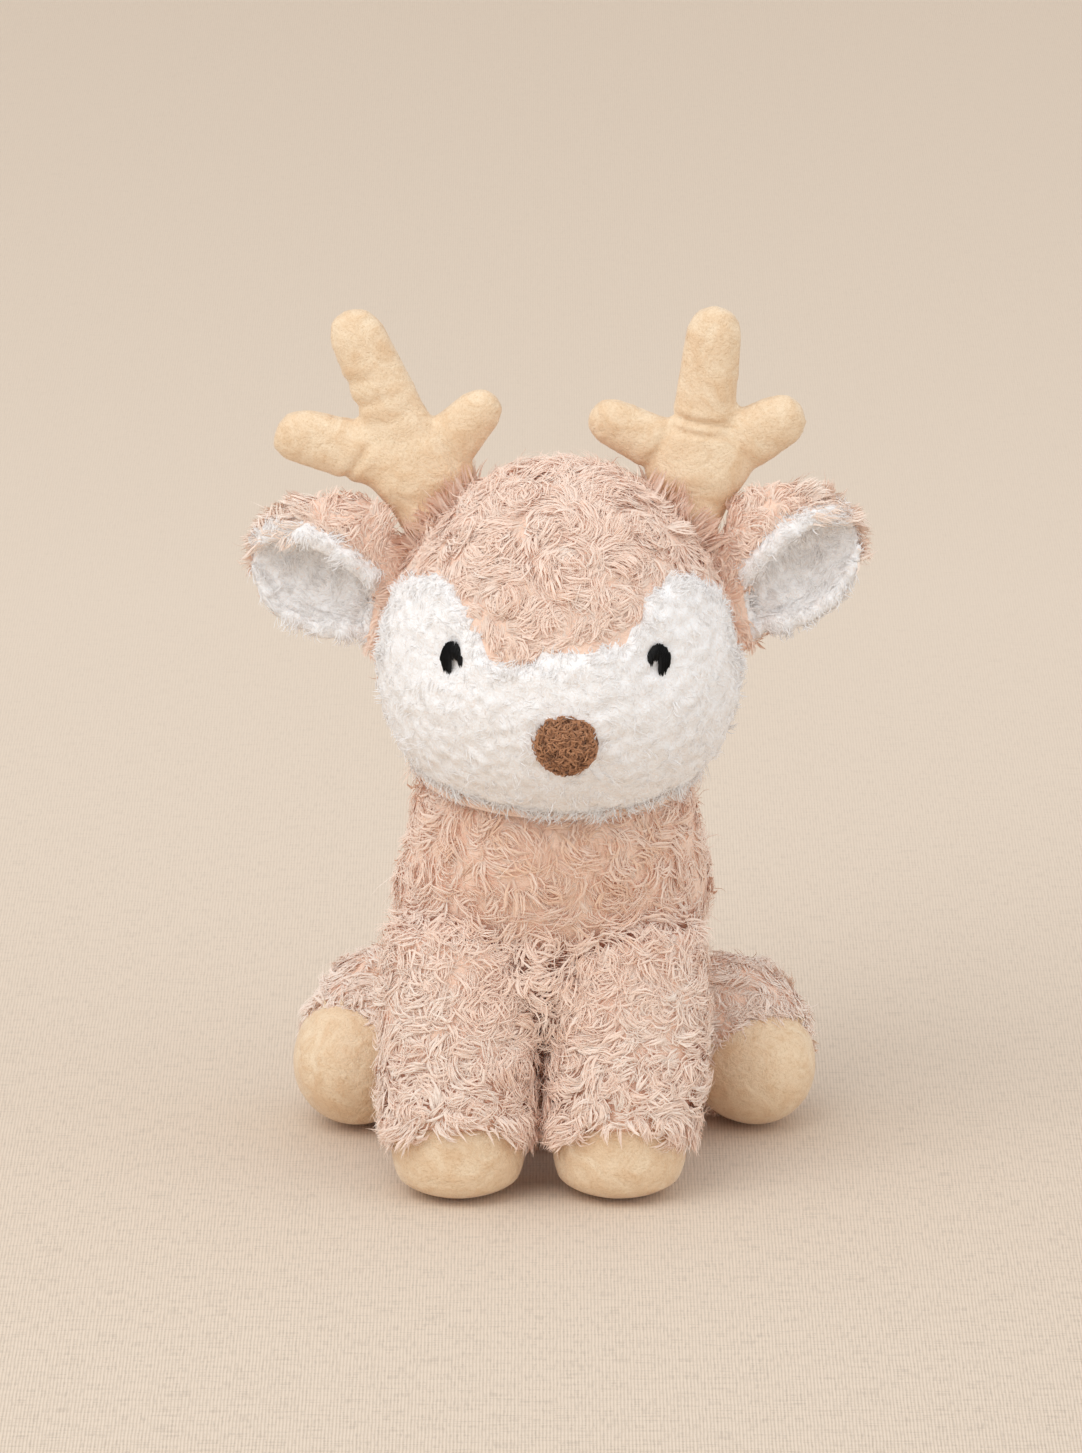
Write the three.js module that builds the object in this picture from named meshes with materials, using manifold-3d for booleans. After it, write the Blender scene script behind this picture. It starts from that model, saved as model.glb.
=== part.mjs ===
// A sitting plush deer in millimetres: +Z up, the face towards -Y. "left" and "right" are the sides
// that a viewer in front of the toy sees, so left is -X. Every solid is the outside of the pile, and
// the fabric panels are shells over their filling, parted along the sewn seams.
import * as THREE from "three";
import { mergeVertices } from "three/addons/utils/BufferGeometryUtils.js";
import Module from "manifold-3d";

const wasm = await Module();
wasm.setup();

// Fabric, seams and fits.
const furThickness = 6;
const velourThickness = 2;
const seamGap = 0.3;
const fit = 0.3;
const floorFlat = 0.5;
const cutterSize = 1000;

// Head: an egg with cheeks and a muzzle. Its shares of the half height and half width draw the edge
// of the white mask as it is seen from the front.
const headX = 1.5;
const headY = -10;
const headZ = 178.4;
const headWidth = 120.6;
const headDepth = 116;
const headHeight = 124;
const crownTaperShare = 0.1;
const muzzleRise = 7;
const muzzleSpread = THREE.MathUtils.degToRad(34);
const muzzleAimShares = [0.05, -1, -0.3];
const faceSeamY = -13;
const maskEdgeShares = [
  [-1.06, -0.46], [-1.015, -0.25], [-0.965, 0.02], [-0.91, 0.26], [-0.83, 0.4], [-0.72, 0.475],
  [-0.61, 0.48], [-0.52, 0.42], [-0.44, 0.25], [-0.33, 0.13], [-0.16, 0.17], [0.09, 0.225],
  [0.31, 0.215], [0.42, 0.33], [0.475, 0.44], [0.56, 0.5], [0.67, 0.485], [0.84, 0.37],
  [0.93, 0.11], [0.998, -0.25], [1.04, -0.46],
];
const maskEdgeSteps = 28;

// Nose and eyes, each seated in a shallow pocket of the mask.
const noseX = 3.3;
const noseZ = 161;
const noseWidth = 21;
const noseHeight = 21;
const noseRise = 7;
const noseSink = 3;
const eyeSpacing = 67.7;
const eyeMiddleX = -0.15;
const eyeZ = 185;
const eyeWidth = 8.8;
const eyeHeight = 11.4;
const eyeRise = 1.4;
const eyeSink = 1.6;

// Neck: the domed top of the torso fills a bowl in the underside of the head. The filling that
// passes through the neck opening turns in the torso, and the head nods on it.
const neckY = -2;
const neckZ = 112;
const neckRadius = 50;
const neckOpeningRadius = 24;
const neckPlugDepth = 20;
const plugTaperShare = 0.8;

// Torso: level ovals from the seat to the neck. Each row holds the height as a share of neckZ, then
// the half width, the shift towards the rump and the half depth as shares of their sizes.
const torsoX = -1.7;
const torsoWidth = 110;
const rumpShift = 24;
const torsoShares = [
  [0, 0.63, 1, 0.27], [0.027, 0.725, 1, 0.34], [0.09, 0.79, 1.02, 0.385], [0.22, 0.815, 1, 0.415],
  [0.4, 0.835, 0.85, 0.428], [0.58, 0.905, 0.565, 0.442], [0.77, 1, 0.2, 0.5],
  [0.89, 0.97, 0.065, 0.497],
];
const torsoDepth = 99;
const domeRows = 6;
const sideSeamY = 4;
const baseSeamHeight = 8;
const pelletHeight = 30;

// Forelegs: straight and leaning forward, cut to the chest. Rows as for the torso, from the sole to
// the crease in front of the shoulder.
const shoulderZ = 88;
const forelegSpacing = 57;
const forelegMiddleX = -3.5;
const hoofTurnIn = 3.8;
const forelegWidth = 56;
const forelegDepth = 51;
const forelegTopY = -24.5;
const forelegStride = 25;
const forelegShares = [
  [-0.006, 0.42, 1, 0.44], [0.012, 0.62, 1, 0.64], [0.057, 0.775, 1, 0.815], [0.136, 0.84, 0.99, 0.89],
  [0.25, 0.85, 0.96, 0.9], [0.33, 0.875, 0.9, 0.915], [0.48, 0.965, 0.7, 0.955], [0.68, 1, 0.44, 1],
  [0.85, 0.96, 0.2, 0.97], [1.02, 0.87, 0.02, 0.9],
];
const forelegHoofHeight = 26;
const forelegHoofTilt = THREE.MathUtils.degToRad(11);

// Hind legs: a round haunch flat against the side of the seat, narrowing to a domed sole. The left
// one splays further out than the right one.
const hipSpacing = 92.4;
const haunchY = 37;
const haunchOut = 7.5;
const leftHaunchRadius = 30;
const rightHaunchRadius = 28.5;
const leftSoleX = -67;
const leftSoleY = 21;
const leftSoleRadius = 23;
const rightSoleX = 68;
const rightSoleY = 21;
const rightSoleRadius = 21.5;
const soleSeamShare = 0.1;

// Ears: cupped leaves, open to the front, whose pinched root is sewn into a groove of the head. Each
// row is a place along the ear, then its half height, half depth and climb as shares, and how far
// its upper edge curls down in front, from 1 for not at all to -1 for fully.
const earRootShare = 0.9455;
const earRootY = -3;
const earRootZ = 191;
const earRootLean = THREE.MathUtils.degToRad(11.5);
const earLength = 48;
const earHeight = 52;
const earDepth = 22;
const earBackThickness = 2.4;
const earLiningThickness = 1.5;
const earSeamRadius = 5.3;
const leftEarRise = THREE.MathUtils.degToRad(7);
const rightEarRise = THREE.MathUtils.degToRad(17);
const earShares = [
  [0, 0.74, 0.42, 0, -0.24], [0.14, 0.95, 0.56, 0.32, -0.18], [0.32, 1, 0.86, 0.38, 0.05],
  [0.52, 0.98, 1, 0.38, 0.28], [0.72, 0.84, 0.92, 0.38, 0.46], [0.88, 0.58, 0.7, 0.38, 0.56],
  [1, 0.24, 0.43, 0.38, 0.6],
];
const earLiningStartShare = 0.14;
const earFoldSteps = 8;
const earLowerEdge = THREE.MathUtils.degToRad(288);

// Antlers: three padded prongs that spread from a palm. Places are X and Z, and depth is squeezed.
const antlerY = 4;
const antlerDepthShare = 0.74;
const antlerRootRadius = 10;
const leftRootX = -42.5;
const leftRootZ = 219.5;
const leftPalmX = -45.6;
const leftPalmZ = 234.5;
const leftPalmRadius = 14.8;
const leftMainX = -65.3;
const leftMainZ = 281.5;
const leftMainRadius = 9.2;
const leftOuterX = -83;
const leftOuterZ = 245.5;
const leftOuterRadius = 8.5;
const leftInnerX = -25;
const leftInnerZ = 254;
const leftInnerRadius = 7.5;
const rightRootX = 45.5;
const rightRootZ = 219.5;
const rightPalmX = 47.4;
const rightPalmZ = 236.6;
const rightPalmRadius = 14.5;
const rightMainX = 52.2;
const rightMainZ = 282.6;
const rightMainRadius = 9;
const rightOuterX = 74;
const rightOuterZ = 251;
const rightOuterRadius = 8.4;
const rightInnerX = 18.5;
const rightInnerZ = 250.5;
const rightInnerRadius = 7.4;
const antlerTiltRoom = 0.8;
const stemShare = 0.96;
const prongBaseShares = [0.74, 0.68, 0.58];

// Tail: a short flat drop that stands up against the rump.
const tailZ = 38;
const tailRootRadius = 8;
const tailTipRadius = 9.5;
const tailSink = 3;
const tailReach = 18;
const tailClimb = 5;
const tailStemShare = 0.74;
const tailWidthShare = 1.2;

// Facets of the larger forms.
const headAround = 28;
const headRings = 16;
const torsoAround = 26;
const torsoRows = 10;
const coreAround = 12;
const coreRows = 6;

const UP = new THREE.Vector3(0, 0, 1);
const vector = (x, y, z) => new THREE.Vector3(x, y, z);
const mix = THREE.MathUtils.lerp;

// Solids.

function facingOut(geometry) {
  const place = geometry.attributes.position;
  const index = geometry.index.array;
  const corner = [vector(), vector(), vector()];
  let volume = 0;
  for (let face = 0; face < index.length; face += 3) {
    corner.forEach((point, side) => point.fromBufferAttribute(place, index[face + side]));
    volume += corner[0].dot(corner[1].cross(corner[2]));
  }
  if (volume < 0) {
    for (let face = 0; face < index.length; face += 3) {
      [index[face], index[face + 1]] = [index[face + 1], index[face]];
    }
  }
  return geometry;
}

function solidOf(geometry) {
  const bare = geometry.clone();
  bare.deleteAttribute("normal");
  bare.deleteAttribute("uv");
  const merged = facingOut(mergeVertices(bare));
  return new wasm.Manifold(new wasm.Mesh({
    numProp: 3,
    vertProperties: merged.attributes.position.array,
    triVerts: merged.index.array,
  }));
}

// A cut can leave slivers beside the piece, so only its largest body is kept.
function mainBody(solid) {
  const bodies = solid.decompose();
  return bodies.reduce((a, b) => (b.volume() > a.volume() ? b : a));
}

function meshGeometry(solid) {
  const { vertProperties, triVerts } = solid.getMesh();
  const geometry = new THREE.BufferGeometry();
  geometry.setAttribute("position", new THREE.BufferAttribute(vertProperties, 3));
  geometry.setIndex(new THREE.BufferAttribute(triVerts, 1));
  geometry.computeVertexNormals();
  return geometry;
}

function piece(name, solid, material) {
  const mesh = new THREE.Mesh(meshGeometry(mainBody(solid)), material);
  mesh.name = name;
  return mesh;
}

// Everything on the far side of a plane: what lies along normal from point.
function beyond(point, normal) {
  const block = new THREE.BoxGeometry(cutterSize, cutterSize, cutterSize);
  block.translate(0, 0, cutterSize / 2);
  block.applyQuaternion(new THREE.Quaternion().setFromUnitVectors(UP, normal.clone().normalize()));
  return solidOf(block.translate(point.x, point.y, point.z));
}

// A sphere whose facets lie inside the radius, or for a socket outside it.
function ball(centre, radius, around, rings, outside = false) {
  const reach = outside ? radius / Math.cos(Math.PI / around) / Math.cos(Math.PI / rings / 2) : radius;
  const sphere = new THREE.SphereGeometry(reach, around, rings);
  return solidOf(sphere.rotateX(Math.PI / 2).translate(centre.x, centre.y, centre.z));
}

// Two spheres of different size and the cone that touches both.
function capsule(from, fromRadius, to, toRadius, around, steps) {
  const axis = to.clone().sub(from);
  const length = axis.length();
  const touch = Math.asin((fromRadius - toRadius) / length);
  const outline = [];
  for (let i = 0; i <= steps; i++) {
    const angle = mix(-Math.PI / 2, touch, i / steps);
    outline.push(new THREE.Vector2(fromRadius * Math.cos(angle), fromRadius * Math.sin(angle)));
  }
  for (let i = 0; i <= steps; i++) {
    const angle = mix(touch, Math.PI / 2, i / steps);
    outline.push(new THREE.Vector2(toRadius * Math.cos(angle), length + toRadius * Math.sin(angle)));
  }
  outline[0].x = 0;
  outline[outline.length - 1].x = 0;
  const skin = new THREE.LatheGeometry(outline, around);
  skin.applyQuaternion(new THREE.Quaternion().setFromUnitVectors(vector(0, 1, 0), axis.normalize()));
  return solidOf(skin.translate(from.x, from.y, from.z));
}

// Closed rings of points, one above the other, skinned and closed at both ends.
function skinned(rings) {
  const around = rings[0].length;
  const points = rings.flat();
  const ends = [rings[0], rings[rings.length - 1]].map((ring) => {
    const middle = vector(0, 0, 0);
    ring.forEach((point) => middle.add(point));
    return points.push(middle.divideScalar(around)) - 1;
  });
  const faces = [];
  for (let i = 0; i < around; i++) {
    const next = (i + 1) % around;
    const last = (rings.length - 1) * around;
    faces.push(ends[0], next, i);
    faces.push(ends[1], last + i, last + next);
    for (let low = 0; low < last; low += around) {
      faces.push(low + i, low + next, low + around + next);
      faces.push(low + i, low + around + next, low + around + i);
    }
  }
  const geometry = new THREE.BufferGeometry().setFromPoints(points);
  return solidOf(geometry.setIndex(faces));
}

// A sheet between two grids of points, closed along its four edges.
function thickSheet(front, back) {
  const rows = front.length;
  const columns = front[0].length;
  const at = (side, row, column) => (side * rows + row) * columns + column;
  const faces = [];
  const quad = (a, b, c, d) => faces.push(a, b, c, a, c, d);
  for (let r = 0; r < rows - 1; r++) {
    for (let c = 0; c < columns - 1; c++) {
      quad(at(0, r, c), at(0, r, c + 1), at(0, r + 1, c + 1), at(0, r + 1, c));
      quad(at(1, r, c), at(1, r + 1, c), at(1, r + 1, c + 1), at(1, r, c + 1));
    }
  }
  for (let c = 0; c < columns - 1; c++) {
    const end = rows - 1;
    quad(at(0, 0, c), at(1, 0, c), at(1, 0, c + 1), at(0, 0, c + 1));
    quad(at(0, end, c), at(0, end, c + 1), at(1, end, c + 1), at(1, end, c));
  }
  for (let r = 0; r < rows - 1; r++) {
    const side = columns - 1;
    quad(at(0, r, 0), at(0, r + 1, 0), at(1, r + 1, 0), at(1, r, 0));
    quad(at(0, r, side), at(1, r, side), at(1, r + 1, side), at(0, r + 1, side));
  }
  const geometry = new THREE.BufferGeometry().setFromPoints([...front.flat(), ...back.flat()]);
  return solidOf(geometry.setIndex(faces));
}

// A smooth curve through the rows of a table of shares.
function rowAt(table, height) {
  let i = 1;
  while (i < table.length - 1 && table[i][0] < height) i++;
  const before = table[Math.max(i - 2, 0)];
  const after = table[Math.min(i + 1, table.length - 1)];
  const [low, high] = [table[i - 1], table[i]];
  const t = THREE.MathUtils.clamp((height - low[0]) / (high[0] - low[0]), 0, 1);
  return low.map((value, k) => {
    const rise = high[0] - low[0];
    const slopeLow = ((high[k] - before[k]) / (high[0] - before[0])) * rise;
    const slopeHigh = ((after[k] - value) / (after[0] - low[0])) * rise;
    return (2 * t ** 3 - 3 * t ** 2 + 1) * value + (t ** 3 - 2 * t ** 2 + t) * slopeLow
      + (3 * t ** 2 - 2 * t ** 3) * high[k] + (t ** 3 - t ** 2) * slopeHigh;
  });
}

function oval(x, y, z, halfWidth, halfDepth, around) {
  return Array.from({ length: around }, (_, i) => {
    const angle = (2 * Math.PI * i) / around;
    return vector(x + halfWidth * Math.cos(angle), y + halfDepth * Math.sin(angle), z);
  });
}

// The forms that the fabric is sewn to. inset moves a form inwards, and below zero outwards.

function headForm(inset, around, rings) {
  const sphere = new THREE.SphereGeometry(1, around, rings).rotateX(Math.PI / 2);
  const place = sphere.attributes.position;
  const muzzle = vector(...muzzleAimShares).normalize();
  for (let i = 0; i < place.count; i++) {
    const way = vector().fromBufferAttribute(place, i).normalize();
    const bulge = muzzleRise * Math.exp(-((way.angleTo(muzzle) / muzzleSpread) ** 2));
    const width = (headWidth / 2 - inset) * (1 - crownTaperShare * way.z);
    place.setXYZ(
      i,
      headX + way.x * (width + bulge),
      headY + way.y * (headDepth / 2 - inset + bulge),
      headZ + way.z * (headHeight / 2 - inset + bulge),
    );
  }
  return solidOf(sphere);
}

function torsoForm(inset, around, rows) {
  const rings = [];
  for (let i = 0; i < rows; i++) {
    const share = (i / rows) ** 1.25;
    const [, width, shift, depth] = rowAt(torsoShares, share);
    const x = torsoX * (1 - THREE.MathUtils.smoothstep(share, 0.5, 1));
    rings.push(oval(x, neckY + shift * rumpShift, mix(inset, neckZ, share),
      (width * torsoWidth) / 2 - inset, depth * torsoDepth - inset, around));
  }
  for (let i = 0; i < domeRows; i++) {
    const angle = (Math.PI / 2) * (i / domeRows);
    const reach = (neckRadius - inset) * Math.cos(angle);
    const z = neckZ + (neckRadius - inset) * Math.sin(angle);
    rings.push(oval(0, neckY, z, reach, reach, around));
  }
  return skinned(rings);
}

function forelegForm(topX, turnIn, inset, around, rows) {
  const lowest = forelegShares[0][0];
  const highest = forelegShares[forelegShares.length - 1][0];
  const rings = [];
  for (let i = 0; i <= rows; i++) {
    const share = (i / rows) ** 1.3;
    const [, width, stride, depth] = rowAt(forelegShares, mix(lowest, highest, share));
    const z = mix(lowest * shoulderZ + inset, highest * shoulderZ - inset, share);
    rings.push(oval(topX - turnIn * stride ** 3, forelegTopY - forelegStride * stride, z,
      (width * forelegWidth) / 2 - inset, (depth * forelegDepth) / 2 - inset, around));
  }
  return skinned(rings);
}

// The neck filling, a plug turned about the neck's axis whose top is part of the torso's dome. Its
// hole in the torso is larger by the clearance and runs out through the dome.
function neckPlug(clearance = 0) {
  const around = 18;
  const radius = (neckOpeningRadius + clearance) / (clearance ? Math.cos(Math.PI / around) : 1);
  const low = neckZ - neckPlugDepth - clearance;
  const rim = Math.asin(neckOpeningRadius / neckRadius);
  const outline = [
    new THREE.Vector2(0, low),
    new THREE.Vector2(radius * plugTaperShare, low),
    new THREE.Vector2(radius, low + neckPlugDepth / 2),
  ];
  if (clearance) {
    outline.push(new THREE.Vector2(radius, neckZ + 2 * neckRadius));
    outline.push(new THREE.Vector2(0, neckZ + 2 * neckRadius));
  } else {
    const steps = 4;
    for (let i = 0; i <= steps; i++) {
      const angle = mix(rim, 0, i / steps);
      const reach = i < steps ? neckRadius * Math.sin(angle) : 0;
      outline.push(new THREE.Vector2(reach, neckZ + neckRadius * Math.cos(angle)));
    }
  }
  const plug = new THREE.LatheGeometry(outline, around).rotateX(Math.PI / 2);
  return solidOf(plug.translate(0, neckY, 0));
}

// Cutters and sockets that neighbouring pieces share.

const hips = {
  left: {
    side: -1,
    haunch: leftHaunchRadius,
    at: vector(torsoX - hipSpacing / 2 - haunchOut, haunchY, leftHaunchRadius - floorFlat),
    sole: leftSoleRadius,
    soleAt: vector(leftSoleX, leftSoleY, leftSoleRadius - floorFlat),
  },
  right: {
    side: 1,
    haunch: rightHaunchRadius,
    at: vector(torsoX + hipSpacing / 2 + haunchOut * 2, haunchY, rightHaunchRadius - floorFlat),
    sole: rightSoleRadius,
    soleAt: vector(rightSoleX, rightSoleY, rightSoleRadius - floorFlat),
  },
};

const ears = {
  left: { side: -1, rise: leftEarRise },
  right: { side: 1, rise: rightEarRise },
};

const antlers = {
  left: {
    root: [leftRootX, leftRootZ],
    palm: [leftPalmX, leftPalmZ, leftPalmRadius],
    prongs: [
      [leftMainX, leftMainZ, leftMainRadius],
      [leftOuterX, leftOuterZ, leftOuterRadius],
      [leftInnerX, leftInnerZ, leftInnerRadius],
    ],
  },
  right: {
    root: [rightRootX, rightRootZ],
    palm: [rightPalmX, rightPalmZ, rightPalmRadius],
    prongs: [
      [rightMainX, rightMainZ, rightMainRadius],
      [rightOuterX, rightOuterZ, rightOuterRadius],
      [rightInnerX, rightInnerZ, rightInnerRadius],
    ],
  },
};

const aboveFloor = beyond(vector(0, 0, 0), UP);
const neckCentre = vector(0, neckY, neckZ);
const tailRoot = vector(torsoX, tailRootY(), tailZ);

function tailRootY() {
  const [, , shift, depth] = rowAt(torsoShares, tailZ / neckZ);
  return neckY + shift * rumpShift + depth * torsoDepth - tailSink;
}

function antlerRoot({ root }) {
  return vector(root[0], antlerY, root[1]);
}

// The pocket that an antler's root turns in, a round cone as wide as the flat stem can tilt.
function antlerSeat(antler) {
  const socket = ball(antlerRoot(antler), antlerRootRadius + fit, 12, 8, true);
  const palm = vector(antler.palm[0], antlerY, antler.palm[1]);
  return socket.add(capsule(
    antlerRoot(antler), antlerRootRadius * stemShare + fit, palm, antler.palm[2] + antlerTiltRoom, 14, 2));
}

function earRoot({ side }) {
  return vector(headX + (side * headWidth * earRootShare) / 2, earRootY, earRootZ);
}

function earRootLine({ side }) {
  return vector(-side * Math.sin(earRootLean), 0, Math.cos(earRootLean));
}

// The gathered seam at an ear's root, a round bar along the root line, or the groove that holds it.
function earSeam(ear, clearance = 0) {
  const around = 14;
  const grow = clearance ? 1 / Math.cos(Math.PI / around) : 1;
  const radius = (earSeamRadius + clearance) * grow;
  const length = earShares[0][1] * earHeight + 2 * clearance;
  const bar = new THREE.CylinderGeometry(radius, radius, length, around).rotateX(Math.PI / 2);
  bar.applyQuaternion(new THREE.Quaternion().setFromUnitVectors(UP, earRootLine(ear)));
  const root = earRoot(ear);
  return solidOf(bar.translate(root.x, root.y, root.z));
}

// The round flat in the side of the seat that a haunch lies in, turned about the hip's axis.
function hipSeat({ side, haunch, at }) {
  const around = 32;
  const radius = (haunch + fit) / Math.cos(Math.PI / around);
  const seat = new THREE.CylinderGeometry(radius, radius, cutterSize, around).rotateZ(Math.PI / 2);
  const face = torsoX + side * (hipSpacing / 2 - fit / 2);
  return solidOf(seat.translate(face + (side * cutterSize) / 2, at.y, at.z));
}

// What the white mask covers, seen from the front, moved out or in by a share of the seam gap.
function maskCutter(offset) {
  const curve = new THREE.CatmullRomCurve3(maskEdgeShares.map(([x, z]) => vector(
    headX + (x * headWidth) / 2, 0, headZ + (z * headHeight) / 2)));
  const edge = curve.getPoints(maskEdgeSteps).map((point, i) => {
    const along = curve.getTangent(i / maskEdgeSteps);
    return new THREE.Vector2(point.x - along.z * offset, point.z + along.x * offset);
  });
  const low = headZ - headHeight;
  const shape = new THREE.Shape([
    new THREE.Vector2(headX - headWidth, low),
    new THREE.Vector2(headX - headWidth, edge[0].y),
    ...edge,
    new THREE.Vector2(headX + headWidth, edge[edge.length - 1].y),
    new THREE.Vector2(headX + headWidth, low),
  ]);
  const block = new THREE.ExtrudeGeometry(shape, { depth: headDepth, bevelEnabled: false });
  return solidOf(block.rotateX(Math.PI / 2).translate(0, faceSeamY - seamGap / 2, 0));
}

// Where the front of the head is, straight behind a point of the face.
function faceAt(x, z) {
  const face = new THREE.Mesh(meshGeometry(headForm(0, headAround, headRings)));
  const ray = new THREE.Raycaster(vector(x, -cutterSize, z), vector(0, 1, 0));
  return ray.intersectObject(face)[0].point.y;
}

const noseY = faceAt(noseX, noseZ);
const eyeX = [eyeMiddleX - eyeSpacing / 2, eyeMiddleX + eyeSpacing / 2];
const eyeY = eyeX.map((x) => faceAt(x, eyeZ));

function nosePad(clearance) {
  const pad = new THREE.SphereGeometry(1, 12, 8);
  pad.scale(noseWidth / 2 + clearance, (noseRise + noseSink) / 2 + noseSink + clearance,
    noseHeight / 2 + clearance);
  return solidOf(pad.translate(noseX, noseY - noseRise + noseSink + (noseRise + noseSink) / 2, noseZ));
}

function eyePad(i, clearance) {
  const pad = new THREE.SphereGeometry(1, 12, 8);
  pad.scale(eyeWidth / 2 + clearance, eyeRise + eyeSink + clearance, eyeHeight / 2 + clearance);
  pad.rotateZ(Math.atan2(eyeX[i] - headX, headY - eyeY[i]));
  return solidOf(pad.translate(eyeX[i], eyeY[i] + eyeSink, eyeZ));
}

// Pieces.

const coat = (color) => new THREE.MeshStandardMaterial({ color, roughness: 0.95, metalness: 0 });
const pinkPlush = coat(0xe4c8b8);
const whitePlush = coat(0xf5f3f0);
const creamVelour = coat(0xeed5ad);
const brownPlush = coat(0x96694b);
const blackThread = new THREE.MeshStandardMaterial({ color: 0x14110f, roughness: 0.5, metalness: 0 });
const fibreFilling = coat(0xf2efe8);
const pelletCloth = coat(0xd9d4c8);

function torsoPieces() {
  const form = torsoForm(0, torsoAround, torsoRows);
  const hollow = torsoForm(furThickness, coreAround, coreRows);
  const filling = torsoForm(furThickness + fit, coreAround, coreRows);
  const tailSocket = ball(tailRoot, tailRootRadius + fit, 12, 8, true);
  const seats = hipSeat(hips.left).add(hipSeat(hips.right)).add(tailSocket).add(neckPlug(fit));
  const shell = form.subtract(hollow).subtract(seats);
  const halfGap = vector(seamGap / 2, seamGap / 2, seamGap / 2);
  const seamFront = beyond(vector(0, sideSeamY - halfGap.y, 0), vector(0, -1, 0));
  const seamBack = beyond(vector(0, sideSeamY + halfGap.y, 0), vector(0, 1, 0));
  const base = beyond(vector(0, 0, baseSeamHeight - halfGap.z), vector(0, 0, -1));
  const aboveBase = beyond(vector(0, 0, baseSeamHeight + halfGap.z), UP);
  const back = shell.intersect(seamBack).intersect(aboveBase);
  const leftHalf = beyond(vector(torsoX - halfGap.x, 0, 0), vector(-1, 0, 0));
  const rightHalf = beyond(vector(torsoX + halfGap.x, 0, 0), vector(1, 0, 0));
  const core = filling.subtract(seats);
  const overPellets = beyond(vector(0, 0, pelletHeight + fit), UP);
  const underPellets = beyond(vector(0, 0, pelletHeight), vector(0, 0, -1));
  return [
    piece("chest_panel", shell.intersect(seamFront).intersect(aboveBase), pinkPlush),
    piece("back_panel_left", back.intersect(leftHalf), pinkPlush),
    piece("back_panel_right", back.intersect(rightHalf), pinkPlush),
    piece("base_panel", shell.intersect(base), pinkPlush),
    piece("torso_filling", core.intersect(overPellets), fibreFilling),
    piece("pellet_bag", core.intersect(underPellets), pelletCloth),
    piece("neck_filling", neckPlug(), fibreFilling),
  ];
}

function headPieces() {
  const form = headForm(0, headAround, headRings);
  const hollow = headForm(furThickness, coreAround, coreRows + 2);
  const filling = headForm(furThickness + fit, coreAround, coreRows + 2);
  const seats = [
    ball(neckCentre, neckRadius + fit, 28, 18, true),
    antlerSeat(antlers.left),
    antlerSeat(antlers.right),
    earSeam(ears.left, fit),
    earSeam(ears.right, fit),
  ].reduce((all, seat) => all.add(seat));
  const shell = form.subtract(hollow).subtract(seats);
  const trim = nosePad(fit).add(eyePad(0, fit)).add(eyePad(1, fit));
  const front = beyond(vector(0, faceSeamY - seamGap / 2, 0), vector(0, -1, 0));
  const back = shell.intersect(beyond(vector(0, faceSeamY + seamGap / 2, 0), vector(0, 1, 0)));
  const left = beyond(vector(headX - seamGap / 2, 0, 0), vector(-1, 0, 0));
  const right = beyond(vector(headX + seamGap / 2, 0, 0), vector(1, 0, 0));
  const mask = shell.intersect(maskCutter(-seamGap / 2));
  return [
    piece("face_mask", mask.subtract(trim), whitePlush),
    piece("forehead_panel", shell.intersect(front).subtract(maskCutter(seamGap / 2)), pinkPlush),
    piece("head_back_left", back.intersect(left), pinkPlush),
    piece("head_back_right", back.intersect(right), pinkPlush),
    piece("head_filling", filling.subtract(seats).subtract(trim), fibreFilling),
    piece("nose", nosePad(0), brownPlush),
    piece("eye_left", eyePad(0, 0), blackThread),
    piece("eye_right", eyePad(1, 0), blackThread),
  ];
}

// A grid of points over an ear, from its root to its tip and from its upper edge to its lower one.
function earGrid(ear, inset, from) {
  const out = vector(ear.side * Math.cos(ear.rise), 0, Math.sin(ear.rise));
  const places = [from, ...earShares.map(([along]) => along).filter((along) => along > from)];
  return places.map((along) => {
    const [, height, depth, climb, curl] = rowAt(earShares, along);
    const lean = mix(earRootLean, ear.rise, along);
    const up = vector(-ear.side * Math.sin(lean), 0, Math.cos(lean));
    const middle = earRoot(ear).addScaledVector(out, along * earLength);
    middle.addScaledVector(up, (climb * earHeight) / 2);
    const upperEdge = Math.asin(curl);
    return Array.from({ length: earFoldSteps + 1 }, (_, i) => {
      const angle = mix(upperEdge, earLowerEdge, i / earFoldSteps);
      const point = middle.clone().addScaledVector(up, ((height * earHeight) / 2 - inset) * Math.sin(angle));
      point.y -= ((depth * earDepth) / 2 - inset) * Math.cos(angle);
      return point;
    });
  });
}

function earPieces(name, ear) {
  const start = earLiningStartShare;
  const lining = earBackThickness + seamGap;
  const back = thickSheet(earGrid(ear, 0, 0), earGrid(ear, earBackThickness, 0));
  const inner = thickSheet(earGrid(ear, lining, start), earGrid(ear, lining + earLiningThickness, start));
  return [
    piece(`ear_${name}_back`, back.add(earSeam(ear)), pinkPlush),
    piece(`ear_${name}_lining`, inner, whitePlush),
  ];
}

function antlerForm(antler, inset, around, steps) {
  const at = ([x, z]) => vector(x, antlerY, z);
  const palmRadius = antler.palm[2];
  const bars = [
    [antler.root, antlerRootRadius * stemShare, antler.palm, palmRadius],
    ...antler.prongs.map((prong, i) => [antler.palm, palmRadius * prongBaseShares[i], prong, prong[2]]),
  ].map(([from, fromRadius, to, toRadius]) => squeezed(
    capsule(at(from), fromRadius - inset, at(to), toRadius - inset, around, steps)));
  const root = ball(antlerRoot(antler), antlerRootRadius - inset, around, 2 * steps + 2);
  return bars.reduce((all, bar) => all.add(bar), root);
}

// Flattened towards the antlers' middle plane.
function squeezed(solid) {
  return solid.translate([0, -antlerY, 0]).scale([1, antlerDepthShare, 1]).translate([0, antlerY, 0]);
}

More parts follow.
